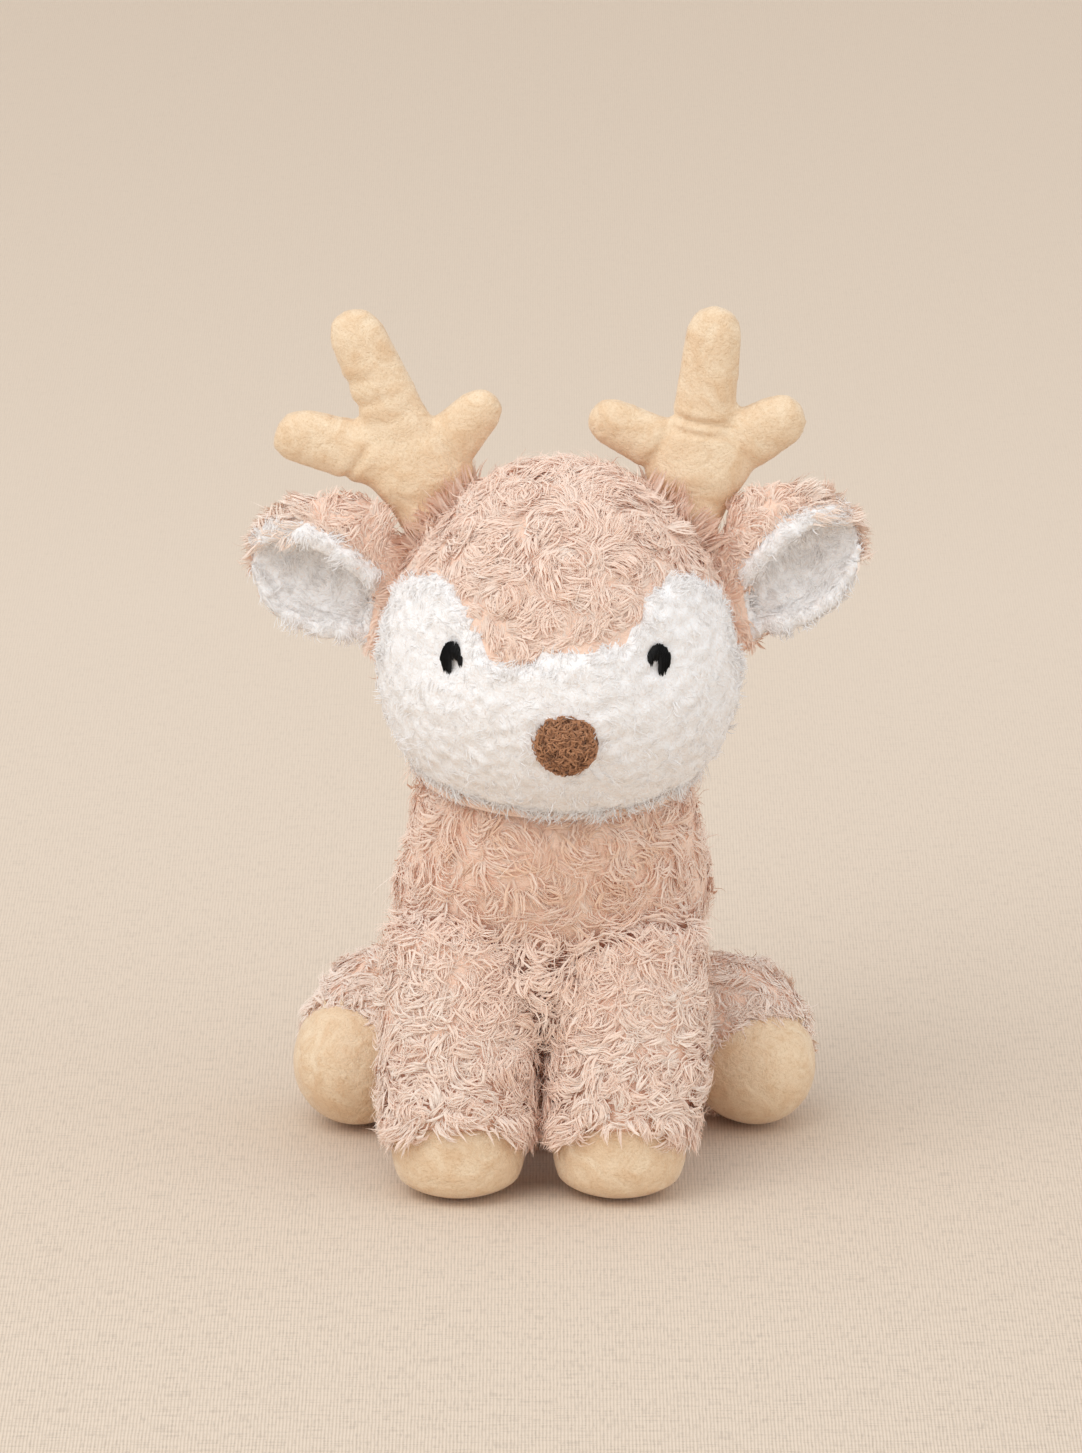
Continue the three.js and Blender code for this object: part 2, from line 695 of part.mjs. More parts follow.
function antlerPieces(name, antler) {
  const shell = antlerForm(antler, 0, 10, 2).subtract(antlerForm(antler, velourThickness, 6, 2));
  const front = beyond(vector(0, antlerY - seamGap / 2, 0), vector(0, -1, 0));
  const back = beyond(vector(0, antlerY + seamGap / 2, 0), vector(0, 1, 0));
  return [
    piece(`antler_${name}_front`, shell.intersect(front), creamVelour),
    piece(`antler_${name}_back`, shell.intersect(back), creamVelour),
    piece(`antler_${name}_filling`, antlerForm(antler, velourThickness + fit, 6, 2), fibreFilling),
  ];
}

function forelegPieces(name, topX, turnIn) {
  const torso = torsoForm(-fit, torsoAround, torsoRows);
  const below = beyond(vector(0, 0, shoulderZ), vector(0, 0, -1));
  const form = (inset, around, rows) => forelegForm(topX, turnIn, inset, around, rows)
    .intersect(below).intersect(aboveFloor).subtract(torso);
  const shell = form(0, 20, 9).subtract(forelegForm(topX, turnIn, furThickness, 12, 6));
  const tilt = vector(0, Math.sin(forelegHoofTilt), Math.cos(forelegHoofTilt));
  const hoofTop = (offset) => vector(0, forelegTopY - forelegStride, forelegHoofHeight + offset);
  const hoof = beyond(hoofTop(-seamGap / 2), tilt.clone().negate());
  const sleeve = beyond(hoofTop(seamGap / 2), tilt);
  return [
    piece(`foreleg_${name}_sleeve`, shell.intersect(sleeve), pinkPlush),
    piece(`foreleg_${name}_hoof`, shell.intersect(hoof), creamVelour),
    piece(`foreleg_${name}_filling`, form(furThickness + fit, 12, 6), fibreFilling),
  ];
}

function hindLegPieces(name, hip) {
  const face = vector(torsoX + hip.side * (hipSpacing / 2 + fit / 2), 0, 0);
  const outside = beyond(face, vector(hip.side, 0, 0));
  const form = (inset, around, steps) => capsule(
    hip.at, hip.haunch - inset, hip.soleAt, hip.sole - inset, around, steps)
    .intersect(outside).intersect(aboveFloor);
  const shell = form(0, 20, 4).subtract(capsule(
    hip.at, hip.haunch - furThickness, hip.soleAt, hip.sole - furThickness, 12, 3));
  const forward = hip.soleAt.clone().sub(hip.at).normalize();
  const seam = (offset) => hip.soleAt.clone().addScaledVector(forward, offset - soleSeamShare * hip.sole);
  return [
    piece(`hind_leg_${name}_sleeve`, shell.intersect(beyond(seam(-seamGap / 2), forward.clone().negate())),
      pinkPlush),
    piece(`hind_leg_${name}_sole`, shell.intersect(beyond(seam(seamGap / 2), forward)), creamVelour),
    piece(`hind_leg_${name}_filling`, form(furThickness + fit, 12, 3), fibreFilling),
  ];
}

function tailPieces() {
  const tip = tailRoot.clone().add(vector(0, tailReach, tailClimb));
  const drop = capsule(tailRoot, tailRootRadius * tailStemShare, tip, tailTipRadius, 14, 3)
    .translate([-tailRoot.x, 0, 0]).scale([tailWidthShare, 1, 1]).translate([tailRoot.x, 0, 0]);
  const form = drop.add(ball(tailRoot, tailRootRadius, 12, 8));
  const outward = vector(0, tailClimb, -tailReach).normalize();
  const seam = (offset) => tailRoot.clone().addScaledVector(outward, offset);
  return [
    piece("tail_top", form.intersect(beyond(seam(-seamGap / 2), outward.clone().negate())), pinkPlush),
    piece("tail_underside", form.intersect(beyond(seam(seamGap / 2), outward)), whitePlush),
  ];
}

const deer = new THREE.Group();
deer.add(
  ...torsoPieces(),
  ...headPieces(),
  ...earPieces("left", ears.left),
  ...earPieces("right", ears.right),
  ...antlerPieces("left", antlers.left),
  ...antlerPieces("right", antlers.right),
  ...forelegPieces("left", forelegMiddleX - forelegSpacing / 2, 0),
  ...forelegPieces("right", forelegMiddleX + forelegSpacing / 2, hoofTurnIn),
  ...hindLegPieces("left", hips.left),
  ...hindLegPieces("right", hips.right),
  ...tailPieces(),
);

// The origin is the middle of the footprint of the whole toy, on the floor.
const extent = new THREE.Box3().setFromObject(deer);
deer.position.set(-(extent.min.x + extent.max.x) / 2, -(extent.min.y + extent.max.y) / 2, -extent.min.z);

export default deer;
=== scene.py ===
"""The looks of a sitting plush deer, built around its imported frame.

The toy faces -Y. Left and right are the sides that a viewer in front of it sees, so left is -X.
Each stuffed part is a padded fabric body, and its pile is made of closed curled locks that leave
the body and lie down to about the height of the solid that they stand for.
"""

import functools
import math

import bmesh
import bpy
import numpy as np
from bpy.props import FloatProperty, FloatVectorProperty, IntProperty, PointerProperty
from bpy.types import Operator, Panel, PropertyGroup
from mathutils import Matrix, Vector, noise
from mathutils.bvhtree import BVHTree
from mathutils.kdtree import KDTree


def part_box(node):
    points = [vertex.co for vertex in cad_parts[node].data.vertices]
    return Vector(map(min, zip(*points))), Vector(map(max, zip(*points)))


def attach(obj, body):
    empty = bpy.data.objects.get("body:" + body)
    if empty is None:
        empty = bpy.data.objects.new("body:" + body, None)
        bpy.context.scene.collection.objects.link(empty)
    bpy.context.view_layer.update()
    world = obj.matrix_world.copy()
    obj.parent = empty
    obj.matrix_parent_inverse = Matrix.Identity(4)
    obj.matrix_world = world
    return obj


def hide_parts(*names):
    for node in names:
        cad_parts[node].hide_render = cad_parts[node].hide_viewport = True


bl_info = {
    "name": "Plush Deer",
    "version": (1, 0, 0),
    "blender": (4, 5, 0),
    "location": "View3D > Sidebar > Plush Deer",
    "description": "Builds the fabric, pile, nose, eyes and antlers of a sitting plush deer",
    "category": "Object",
}

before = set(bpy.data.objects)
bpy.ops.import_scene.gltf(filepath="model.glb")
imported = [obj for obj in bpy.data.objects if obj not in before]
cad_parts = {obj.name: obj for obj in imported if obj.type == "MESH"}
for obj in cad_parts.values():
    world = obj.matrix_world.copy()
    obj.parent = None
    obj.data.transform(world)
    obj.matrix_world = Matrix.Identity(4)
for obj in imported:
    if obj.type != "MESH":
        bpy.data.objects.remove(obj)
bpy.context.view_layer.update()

MM = 0.001
SIDES = ("left", "right")


def colour(red, green, blue):
    """A colour on the screen, 0 to 255, as the shader's linear colour."""
    def linear(value):
        value /= 255
        return value / 12.92 if value <= 0.04045 else ((value + 0.055) / 1.055) ** 2.4
    return tuple(linear(value) for value in (red, green, blue))


def tone(name, red, green, blue):
    return FloatVectorProperty(
        name=name, description=f"{name} as the shader shows it", subtype="COLOR",
        size=3, min=0, max=1, default=colour(red, green, blue))


def length(name, description, default):
    return FloatProperty(
        name=name, description=description, default=default, min=0, unit="LENGTH", subtype="DISTANCE")


class DeerCurls(PropertyGroup):
    # The pile's tint runs from light through middle to warm, and locks differ along it at random. Where
    # curly_pile is given a shade, the warm end is painted shade (under the chin, between the forelegs)
    # and the light end is painted light (the chest's sides, the haunches).
    light: tone("Tips of the pink pile", 254, 239, 226)
    middle: tone("Pink pile", 253, 230, 213)
    warm_and_shaded: tone("Warm locks", 246, 211, 184)
    backing: tone("Backing cloth", 250, 219, 198)
    lock_length: length("Lock length", "Length of one curled lock", 10 * MM)
    lock_width: length("Lock width", "Width of one curled lock at its middle", 0.46 * MM)
    tuft_width: length("Tuft width", "Width of one broad soft tuft among the locks", 1.1 * MM)
    tuft_share: FloatProperty(name="Tuft share", description="Share of the locks that are broad tufts",
                              default=0.4, min=0, max=1)
    whorl_gap: length("Whorl gap", "Distance between the whorls of the pile", 16 * MM)
    tuft_gap: length("Tuft gap", "Distance between the tufts of the pile", 3.0 * MM)


class DeerFleece(PropertyGroup):
    light: tone("Tips of the white fleece", 255, 255, 255)
    middle: tone("White fleece", 252, 252, 252)
    backing: tone("Fleece backing", 253, 252, 251)
    lock_length: length("Fibre length", "Length of one tuft of fleece", 3.4 * MM)
    lock_width: length("Fibre width", "Width of one tuft of fleece", 0.42 * MM)
    tuft_gap: length("Fleece clump gap", "Distance between clumps of the fleece", 4.2 * MM)


class DeerVelour(PropertyGroup):
    light: tone("Velour", 241, 219, 189)
    shade: tone("Brushed velour", 230, 200, 165)
    nap: FloatProperty(name="Nap scale", description="Marks of the nap to a metre", default=1500, min=1)


class DeerTrim(PropertyGroup):
    nose: tone("Nose pile", 188, 137, 100)
    nose_shade: tone("Nose backing", 108, 70, 46)
    thread: tone("Eye thread", 9, 8, 8)
    fibres: IntProperty(name="Nose fibres", description="Number of short fibres on the nose",
                        default=1300, min=1)


class DeerStage(PropertyGroup):
    floor: tone("Floor cloth", 226, 210, 192)
    cloth: tone("Backdrop", 230, 213, 193)
    key: FloatProperty(name="Key lamp", description="Power of the large front lamp", default=13,
                       min=0, unit="POWER")
    fill: FloatProperty(name="Fill lamp", description="Power of the side lamp", default=3,
                        min=0, unit="POWER")
    sky: FloatProperty(name="Room light", description="Strength of the light all round",
                       default=0.88, min=0)
    camera_rise: FloatProperty(name="Camera rise", description="Angle of the camera over the floor",
                               default=math.radians(16), subtype="ANGLE", unit="ROTATION")
    camera_distance: length("Camera distance", "From the camera to the toy's middle", 3.0)
    view_height: length("View height", "Height of the picture at the toy's middle", 483 * MM)


class DeerSettings(PropertyGroup):
    curls: PointerProperty(type=DeerCurls, name="Curls", description="The pink curly pile")
    fleece: PointerProperty(type=DeerFleece, name="Fleece", description="The white fleece")
    velour: PointerProperty(type=DeerVelour, name="Velour", description="Antlers and hooves")
    trim: PointerProperty(type=DeerTrim, name="Trim", description="Nose and eyes")
    stage: PointerProperty(type=DeerStage, name="Stage", description="Floor, lamps and camera")


# Arrays and meshes.

def unit(vectors):
    return vectors / np.maximum(np.linalg.norm(vectors, axis=-1, keepdims=True), 1e-12)


def dot(a, b):
    return np.sum(a * b, axis=-1, keepdims=True)


def lengths(vectors):
    return np.linalg.norm(vectors, axis=1)


def bell(values, width, power=2):
    """1 at zero, and close to nothing beyond about two widths on either side."""
    return np.exp(-(values / width) ** power)


def smoothstep(values):
    t = np.clip(values, 0, 1)
    return t * t * (3 - 2 * t)


def vectors_of(piece, field):
    values = np.empty(len(piece.data.vertices) * 3, np.float32)
    piece.data.vertices.foreach_get(field, values)
    return values.reshape(-1, 3).astype(float)


def points_of(piece):
    return vectors_of(piece, "co")


def normals_of(piece):
    return vectors_of(piece, "normal")


def place_points(piece, points):
    piece.data.vertices.foreach_set("co", np.asarray(points, np.float32).ravel())
    piece.data.update()


def shown(name, mesh, *materials):
    piece = bpy.data.objects.new(name, mesh)
    bpy.context.scene.collection.objects.link(piece)
    for material in materials:
        mesh.materials.append(material)
    mesh.shade_smooth()
    return piece


def from_bmesh(name, bm, *materials):
    mesh = bpy.data.meshes.new(name)
    bm.to_mesh(mesh)
    bm.free()
    return shown(name, mesh, *materials)


def merged(*nodes):
    """CAD solids in one mesh, with the loose triangles of each sewn together."""
    bm = bmesh.new()
    for node in nodes:
        bm.from_mesh(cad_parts[node].data)
    bmesh.ops.remove_doubles(bm, verts=bm.verts, dist=MM / 500)
    return bm


def copied(piece):
    bm = bmesh.new()
    bm.from_mesh(piece.data)
    return bm


def tree_from(bm):
    tree = BVHTree.FromBMesh(bm)
    bm.free()
    return tree


def tree_of(*nodes):
    return tree_from(merged(*nodes))


def applied(piece):
    """The piece with its modifiers applied."""
    graph = bpy.context.evaluated_depsgraph_get()
    graph.update()
    mesh = bpy.data.meshes.new_from_object(piece.evaluated_get(graph), depsgraph=graph)
    piece.modifiers.clear()
    old, piece.data = piece.data, mesh
    mesh.name = piece.name
    bpy.data.meshes.remove(old)
    mesh.shade_smooth()
    return piece


def softened(piece, rounds):
    step = piece.modifiers.new("soften", "SMOOTH")
    step.factor, step.iterations = 0.5, rounds
    return applied(piece)


def remeshed(piece, voxel, rounds=4):
    step = piece.modifiers.new("voxels", "REMESH")
    step.mode = "VOXEL"
    step.voxel_size = voxel
    return softened(piece, rounds)


def drawn_in(piece, depth, rounds=3):
    """Moves the whole surface inwards by a depth."""
    place_points(piece, points_of(piece) - normals_of(piece) * depth)
    return softened(piece, rounds)


def stuffed(piece, pressure, cap, held=None, frames=16):
    """Fills a closed fabric body with pressure, holds its seams, and caps how far it swells."""
    before = points_of(piece)
    cloth = piece.modifiers.new("cloth", "CLOTH")
    settings = cloth.settings
    if held is not None:
        group = piece.vertex_groups.new(name="seams")
        for share in (0.35, 0.7, 1.0):
            picked = np.nonzero((held > share - 0.35) & (held <= share + 1e-9))[0]
            group.add([int(i) for i in picked], share, "REPLACE")
        settings.vertex_group_mass = "seams"
    settings.quality = 4
    settings.mass = 0.15
    settings.tension_stiffness = settings.compression_stiffness = 12
    settings.bending_stiffness = 0.4
    settings.use_pressure = True
    settings.uniform_pressure_force = pressure
    settings.effector_weights.gravity = 0
    cloth.collision_settings.use_collision = False
    cloth.point_cache.frame_start, cloth.point_cache.frame_end = 1, frames
    scene = bpy.context.scene
    for number in range(1, frames + 1):
        scene.frame_set(number)
    applied(piece)
    scene.frame_set(1)
    move = points_of(piece) - before
    move *= np.minimum(1, cap / np.maximum(lengths(move), 1e-9))[:, None]
    place_points(piece, before + np.nan_to_num(move))
    piece.vertex_groups.clear()
    return piece


def finished(piece, body, slot, *nodes, fill=None):
    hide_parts(*nodes)
    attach(piece, body)
    return piece


# Pile.

FINE, PLAIN = 4, 3
LOCK_SIDES = 3
TINT_BAND = 0.05
WHORL_REACH = 11 * MM
LOWEST, NEAR_FLOOR = 0.15 * MM, 1.2 * MM
WHORL_TRIES, TUFT_TRIES, CLUMP_TRIES = 2600, 9000, 7000
CURL_STRAYS, FLEECE_STRAYS = 0.08, 0.1
CURL_BUNCHING, FLEECE_BUNCHING = 0.8, 0.45
BROAD_FLAT, LOCK_FLAT, FLEECE_FLAT = 0.24, 0.34, 0.4


@functools.cache
def lock_pattern(rings):
    """One closed lock along +Z: each point's ring and its place around it, the faces and their map."""
    bm = bmesh.new()
    bmesh.ops.create_cone(bm, cap_ends=True, segments=LOCK_SIDES, radius1=1, radius2=0, depth=1)
    bmesh.ops.remove_doubles(bm, verts=bm.verts, dist=1e-6)
    for ring in range(1, rings):
        height = ring / rings - 0.5
        geometry = bm.verts[:] + bm.edges[:] + bm.faces[:]
        bmesh.ops.bisect_plane(bm, geom=geometry, plane_co=(0, 0, height), plane_no=(0, 0, 1))
    bm.verts.index_update()
    foot = min(bm.verts, key=lambda v: v.co.z)
    turned = Matrix.Rotation(math.pi / 2 - math.atan2(foot.co.y, foot.co.x), 3, "Z")
    bmesh.ops.transform(bm, matrix=turned.to_4x4(), verts=bm.verts)
    ring = np.array([round((v.co.z + 0.5) * rings) for v in bm.verts])
    around = unit(np.array([[v.co.x, v.co.y] for v in bm.verts]))
    corners, sizes, across, along = [], [], [], []
    for face in bm.faces:
        sizes.append(len(face.verts))
        middle = face.calc_center_median()
        start = math.atan2(middle.y, middle.x)
        side = int(start % (2 * math.pi) // (2 * math.pi / LOCK_SIDES))
        for vert in face.verts:
            corners.append(vert.index)
            if abs(face.normal.z) > 0.9:
                across.append(0.5 + 0.5 * around[vert.index][0])
                along.append(0.03 * (1 + around[vert.index][1]))
                continue
            angle = (math.atan2(vert.co.y, vert.co.x) - start + math.pi) % (2 * math.pi) - math.pi
            share = 0.5 if vert.co.xy.length < 1e-6 else 0.5 + 0.5 * np.sign(angle)
            across.append((side + share) / LOCK_SIDES)
            along.append(ring[vert.index] / rings)
    bm.free()
    return ring, around, np.array(corners), np.array(sizes), np.array(across), np.array(along)


def stamped(name, paths, normals, radii, tints, material, flat=0.6, swell=(0.7, 1, 0.85, 0.5, 0)):
    """A mesh of closed locks, one along each path, each with a ridge on top. The map holds a lock's
    tint across the picture and its place from root to tip up it."""
    rings = paths.shape[1] - 1
    ring, around, corners, sizes, across, along = lock_pattern(rings)
    swell = np.interp(np.linspace(0, 1, rings + 1), np.linspace(0, 1, len(swell)), swell)
    tangent = unit(np.gradient(paths, axis=1))
    side = unit(np.cross(tangent, normals[:, None, :]))
    up = -np.cross(tangent, side)
    spread = (radii[:, None] * swell[None, ring])[:, :, None]
    flat = np.broadcast_to(flat, len(paths))[:, None, None]
    points = paths[:, ring] + spread * (
        flat * around[:, 1, None] * up[:, ring] - around[:, 0, None] * side[:, ring])
    count, each = len(paths), len(ring)
    mesh = bpy.data.meshes.new(name)
    mesh.vertices.add(count * each)
    mesh.vertices.foreach_set("co", points.astype(np.float32).ravel())
    loops = (corners[None] + each * np.arange(count)[:, None]).ravel()
    mesh.loops.add(len(loops))
    mesh.loops.foreach_set("vertex_index", loops.astype(np.int32))
    starts = np.concatenate([[0], np.cumsum(np.tile(sizes, count))[:-1]])
    mesh.polygons.add(len(starts))
    mesh.polygons.foreach_set("loop_start", starts.astype(np.int32))
    mesh.update(calc_edges=True)
    picture = mesh.uv_layers.new(name="OFBake")
    place = np.empty((count, len(corners), 2), np.float32)
    place[:, :, 0] = np.clip(tints, 0, 1)[:, None] * (1 - TINT_BAND) + across[None] * TINT_BAND
    place[:, :, 1] = along[None]
    picture.data.foreach_set("uv", place.ravel())
    piece = shown(name, mesh, material)
    mesh.shade_flat()
    return piece


class Ground:
    """The part of a body's surface that carries pile."""

    def __init__(self, piece, pick=None):
        mesh = piece.data
        mesh.calc_loop_triangles()
        corner = np.empty(len(mesh.loop_triangles) * 3, np.int32)
        mesh.loop_triangles.foreach_get("vertices", corner)
        self.corner = corner.reshape(-1, 3)
        self.points, self.normals = points_of(piece), normals_of(piece)
        a, b, c = (self.points[self.corner[:, k]] for k in range(3))
        self.middles = (a + b + c) / 3
        self.areas = lengths(np.cross(b - a, c - a)) / 2
        if pick is not None:
            self.areas = self.areas * pick(self.middles)

    def scatter(self, count, draw, keep=None):
        chance = np.cumsum(self.areas)
        face = np.searchsorted(chance, draw.random(count) * chance[-1])
        u, v = draw.random(count), draw.random(count)
        over = u + v > 1
        u[over], v[over] = 1 - u[over], 1 - v[over]
        share = np.stack([1 - u - v, u, v], axis=1)[:, :, None]
        corner = self.corner[face]
        points = np.sum(self.points[corner] * share, axis=1)
        normals = unit(np.sum(self.normals[corner] * share, axis=1))
        stay = slice(None) if keep is None else keep(points)
        return points[stay], normals[stay]


def spaced(points, gap):
    """The indices of points, taken in order, that keep a gap from each other."""
    kept, cells = [], {}
    for i, cell in enumerate(np.floor(points / gap).astype(int)):
        x, y, z = (int(value) for value in cell)
        near = [j for dx in (-1, 0, 1) for dy in (-1, 0, 1) for dz in (-1, 0, 1)
                for j in cells.get((x + dx, y + dy, z + dz), ())]
        if all(np.sum((points[i] - points[j]) ** 2) >= gap * gap for j in near):
            kept.append(i)
            cells.setdefault((x, y, z), []).append(i)
    return np.array(kept)


def nearest(points, others):
    tree = KDTree(len(others))
    for i, point in enumerate(others):
        tree.insert(point, i)
    tree.balance()
    found = [tree.find(point) for point in points]
    return np.array([f[1] for f in found]), np.array([f[2] for f in found])


def laid(points, normals, heading, turn, rise, reach, bend, rings=PLAIN):
    """Paths that leave the surface, turn over it, lie down and follow its bend."""
    heading = unit(heading - dot(heading, normals) * normals)
    side = np.cross(normals, heading)
    path = [points]
    for step in range(rings):
        share = (step + 0.5) / rings
        angle = (turn * share)[:, None]
        lift = (rise[0] * (1 - share) + rise[1] * share)[:, None]
        way = np.cos(angle) * heading + np.sin(angle) * side
        path.append(path[-1] + reach[:, None] / rings * (np.cos(lift) * way + np.sin(lift) * normals))
    path = np.stack(path, axis=1)
    away = path - points[:, None]
    over = dot(away, normals[:, None])
    drop = (dot(away, away) - over ** 2) / (2 * bend)
    return path - drop * normals[:, None]


def whorled(points, normals, whorls, spins, comb, comb_share, draw):
    """Headings that circle the nearest whorl, more combed further from it."""
    which, away = nearest(points, whorls)
    out = points - whorls[which]
    out = unit(out - dot(out, normals) * normals)
    circle = np.cross(normals, out) * spins[which][:, None]
    near = bell(away, WHORL_REACH)[:, None]
    combed = unit(comb - dot(comb, normals) * normals)
    stray = draw.normal(size=points.shape) * 0.35
    return circle * (0.4 + 0.6 * near) - out * 0.25 * near + combed * comb_share * (1.2 - near) + stray


def bunched(own, guide, strength, share, stray, draw):
    """Paths drawn towards the guide of their tuft, most at the tip. Strays are left alone."""
    pull = np.linspace(0, 1, own.shape[1]) ** 1.2 * strength
    pull = pull[None] * (0.5 + 0.5 * draw.random(len(own)))[:, None] * ~stray[:, None]
    aim = guide[:, :1] + (guide - guide[:, :1]) * share[:, None, None]
    return own + pull[:, :, None] * (aim - own)


def varied(draw, middle, sd, count, low=0.5, high=1.4):
    return draw.normal(middle, sd, count).clip(low, high)


def floor_clear(pile):
    """Presses what would hang under the floor flat on it."""
    points = points_of(pile)
    under = points[:, 2] < NEAR_FLOOR
    fallen = (points[under, 2] - NEAR_FLOOR) / NEAR_FLOOR
    points[under, 2] = LOWEST + (NEAR_FLOOR - LOWEST) * np.exp(fallen)
    place_points(pile, points)


def curly_pile(name, body, node, ground, count, seed, comb, comb_share=0.45, bend=45 * MM, size=1.0,
               keep=None, shade=None, short=None, rise=(0.36, -0.06), rings=PLAIN, curl=1.0):
    """Curled locks in tufts that circle whorls, as on a long curly plush."""
    look = bpy.context.scene.plush_deer.curls
    draw = np.random.default_rng(seed)
    spots, _ = ground.scatter(WHORL_TRIES, draw)
    whorls = spots[spaced(spots, look.whorl_gap)]
    spins = draw.choice([-1.0, 1.0], len(whorls))
    tufts, tuft_normals = ground.scatter(TUFT_TRIES, draw)
    picked = spaced(tufts, look.tuft_gap * size)
    tufts, tuft_normals = tufts[picked], tuft_normals[picked]
    total = len(tufts)
    tuft_heading = whorled(tufts, tuft_normals, whorls, spins, comb(tufts), comb_share, draw)
    which_whorl, _ = nearest(tufts, whorls)
    tuft_turn = spins[which_whorl] * draw.normal(1.2, 0.9, total) * curl
    tuft_rise = draw.normal(0, 0.14, total)
    tuft_tone = draw.normal(0, 1, total)
    reach = look.lock_length * size
    guide = laid(tufts, tuft_normals, tuft_heading, tuft_turn,
                 (rise[0] + tuft_rise, rise[1] + tuft_rise), np.full(total, reach), bend, rings)
    roots, normals = ground.scatter(count, draw, keep)
    which, _ = nearest(roots, tufts)
    number = len(roots)
    broad = draw.random(number) < look.tuft_share
    stray = (draw.random(number) < CURL_STRAYS) & ~broad
    heading = unit(tuft_heading[which]) + draw.normal(0, 0.38, (number, 3))
    turn = tuft_turn[which] * draw.normal(1, 0.25, number) + draw.normal(0, 0.45, number) * curl
    lift = tuft_rise[which] + draw.normal(0, 0.09, number) + stray * 0.25 - broad * 0.06
    share = np.ones(number) if short is None else short(roots)
    own = laid(roots, normals, heading, turn, (rise[0] + lift, rise[1] + lift),
               share * reach * varied(draw, 0.95, 0.2, number), bend, rings)
    paths = bunched(own, guide[which], CURL_BUNCHING, share, stray, draw)
    tints = 0.42 + 0.13 * tuft_tone[which] + 0.13 * draw.normal(0, 1, number)
    # shade moves each lock's tint by its place, towards the warm end or the light end; the torso and
    # legs use it for painted shade and painted light.
    if shade is not None:
        tints = tints + shade(roots)
    radii = np.where(broad, look.tuft_width, look.lock_width) / 2
    radii = radii * varied(draw, 1, 0.2, number, high=1.5)
    pile = stamped(name, paths, normals, radii, tints, curl_material(),
                   np.where(broad, BROAD_FLAT, LOCK_FLAT))
    floor_clear(pile)
    return finished(pile, body, "pink_plush", *filter(None, [node]))


def fleece_pile(name, body, node, ground, count, seed, size=1.0, keep=None, short=None, bend=50 * MM,
                comb=None):
    """Short fluffy clumps whose fibres meet at their tips."""
    look = bpy.context.scene.plush_deer.fleece
    draw = np.random.default_rng(seed)
    clumps, clump_normals = ground.scatter(CLUMP_TRIES, draw)
    picked = spaced(clumps, look.tuft_gap * size)
    clumps, clump_normals = clumps[picked], clump_normals[picked]
    total = len(clumps)
    way = draw.normal(size=(total, 3))
    if comb is not None:
        way = way * 0.7 + comb(clumps)
    turn = draw.normal(0, 1.3, total)
    lean = draw.normal(0.32, 0.14, total)
    reach = look.lock_length * size
    guide = laid(clumps, clump_normals, way, turn, (lean + 0.35, lean - 0.1),
                 np.full(total, reach), bend)
    roots, normals = ground.scatter(count, draw, keep)
    which, _ = nearest(roots, clumps)
    number = len(roots)
    stray = draw.random(number) < FLEECE_STRAYS
    heading = unit(way[which]) + draw.normal(0, 0.35, (number, 3))
    lift = lean[which] + draw.normal(0, 0.18, number)
    share = np.ones(number) if short is None else short(roots)
    reaches = reach * varied(draw, 1, 0.18, number) * share
    own = laid(roots, normals, heading, turn[which] + draw.normal(0, 0.5, number),
               (lift + 0.35, lift - 0.1), reaches, bend)
    paths = bunched(own, guide[which], FLEECE_BUNCHING, share, stray, draw)
    tints = 0.5 + 0.16 * draw.normal(0, 1, total)[which] + 0.16 * draw.normal(0, 1, number)
    radii = look.lock_width / 2 * varied(draw, 1, 0.2, number, high=1.5)
    pile = stamped(name, paths, normals, radii, tints, fleece_material(), FLEECE_FLAT)
    return finished(pile, body, "white_plush", node)


# Materials.

WHITE = (1, 1, 1)


def cloth_material(name, paint, roughness=0.95, sheen=0.2, sheen_roughness=0.5, specular=0.15):
    """The material of this name, made when it is first asked for. Paint gives its colour and bump."""
    material = bpy.data.materials.get(name)
    if material:
        return material
    material = bpy.data.materials.new(name)
    material.use_nodes = True
    tree = material.node_tree
    shader = tree.nodes["Principled BSDF"]
    for socket, value in (("Roughness", roughness), ("Sheen Weight", sheen),
                          ("Sheen Roughness", sheen_roughness), ("Specular IOR Level", specular)):
        shader.inputs[socket].default_value = value
    for socket, source in zip(("Base Color", "Normal"), paint(tree)):
        tree.links.new(source, shader.inputs[socket])
    return material


def joined(tree, kind, *inputs, **values):
    """A new node, with its inputs linked by name or number and its settings set."""
    node = tree.nodes.new(kind)
    for key, value in values.items():
        setattr(node, key, value)
    for socket, source in inputs:
        if hasattr(source, "is_linked"):
            tree.links.new(source, node.inputs[socket])
        else:
            node.inputs[socket].default_value = source
    return node


def place_in(tree):
    return joined(tree, "ShaderNodeTexCoord").outputs["Object"]


def noise_in(tree, place, scale, detail=2.0, roughness=0.5, distortion=0.0):
    return joined(tree, "ShaderNodeTexNoise", ("Vector", place), ("Scale", scale), ("Detail", detail),
                  ("Roughness", roughness), ("Distortion", distortion)).outputs[0]


def bump_in(tree, height, strength, distance, *under):
    """A bump, over another bump where one is given."""
    return joined(tree, "ShaderNodeBump", ("Height", height), ("Strength", strength),
                  ("Distance", distance), *(("Normal", normal) for normal in under)).outputs[0]


def ramp(tree, source, *stops):
    node = joined(tree, "ShaderNodeValToRGB", ("Fac", source))
    elements = node.color_ramp.elements
    while len(elements) < len(stops):
        elements.new(0.5)
    for element, (place, shade) in zip(elements, stops):
        element.position = place
        element.color = (*shade, 1)
    return node.outputs["Color"]


def mixed(tree, first, second, share, blend="MIX"):
    first, second = (source if hasattr(source, "is_linked") else (*source, 1)
                     for source in (first, second))
    return joined(tree, "ShaderNodeMix", (6, first), (7, second), (0, share),
                  data_type="RGBA", blend_type=blend).outputs[2]


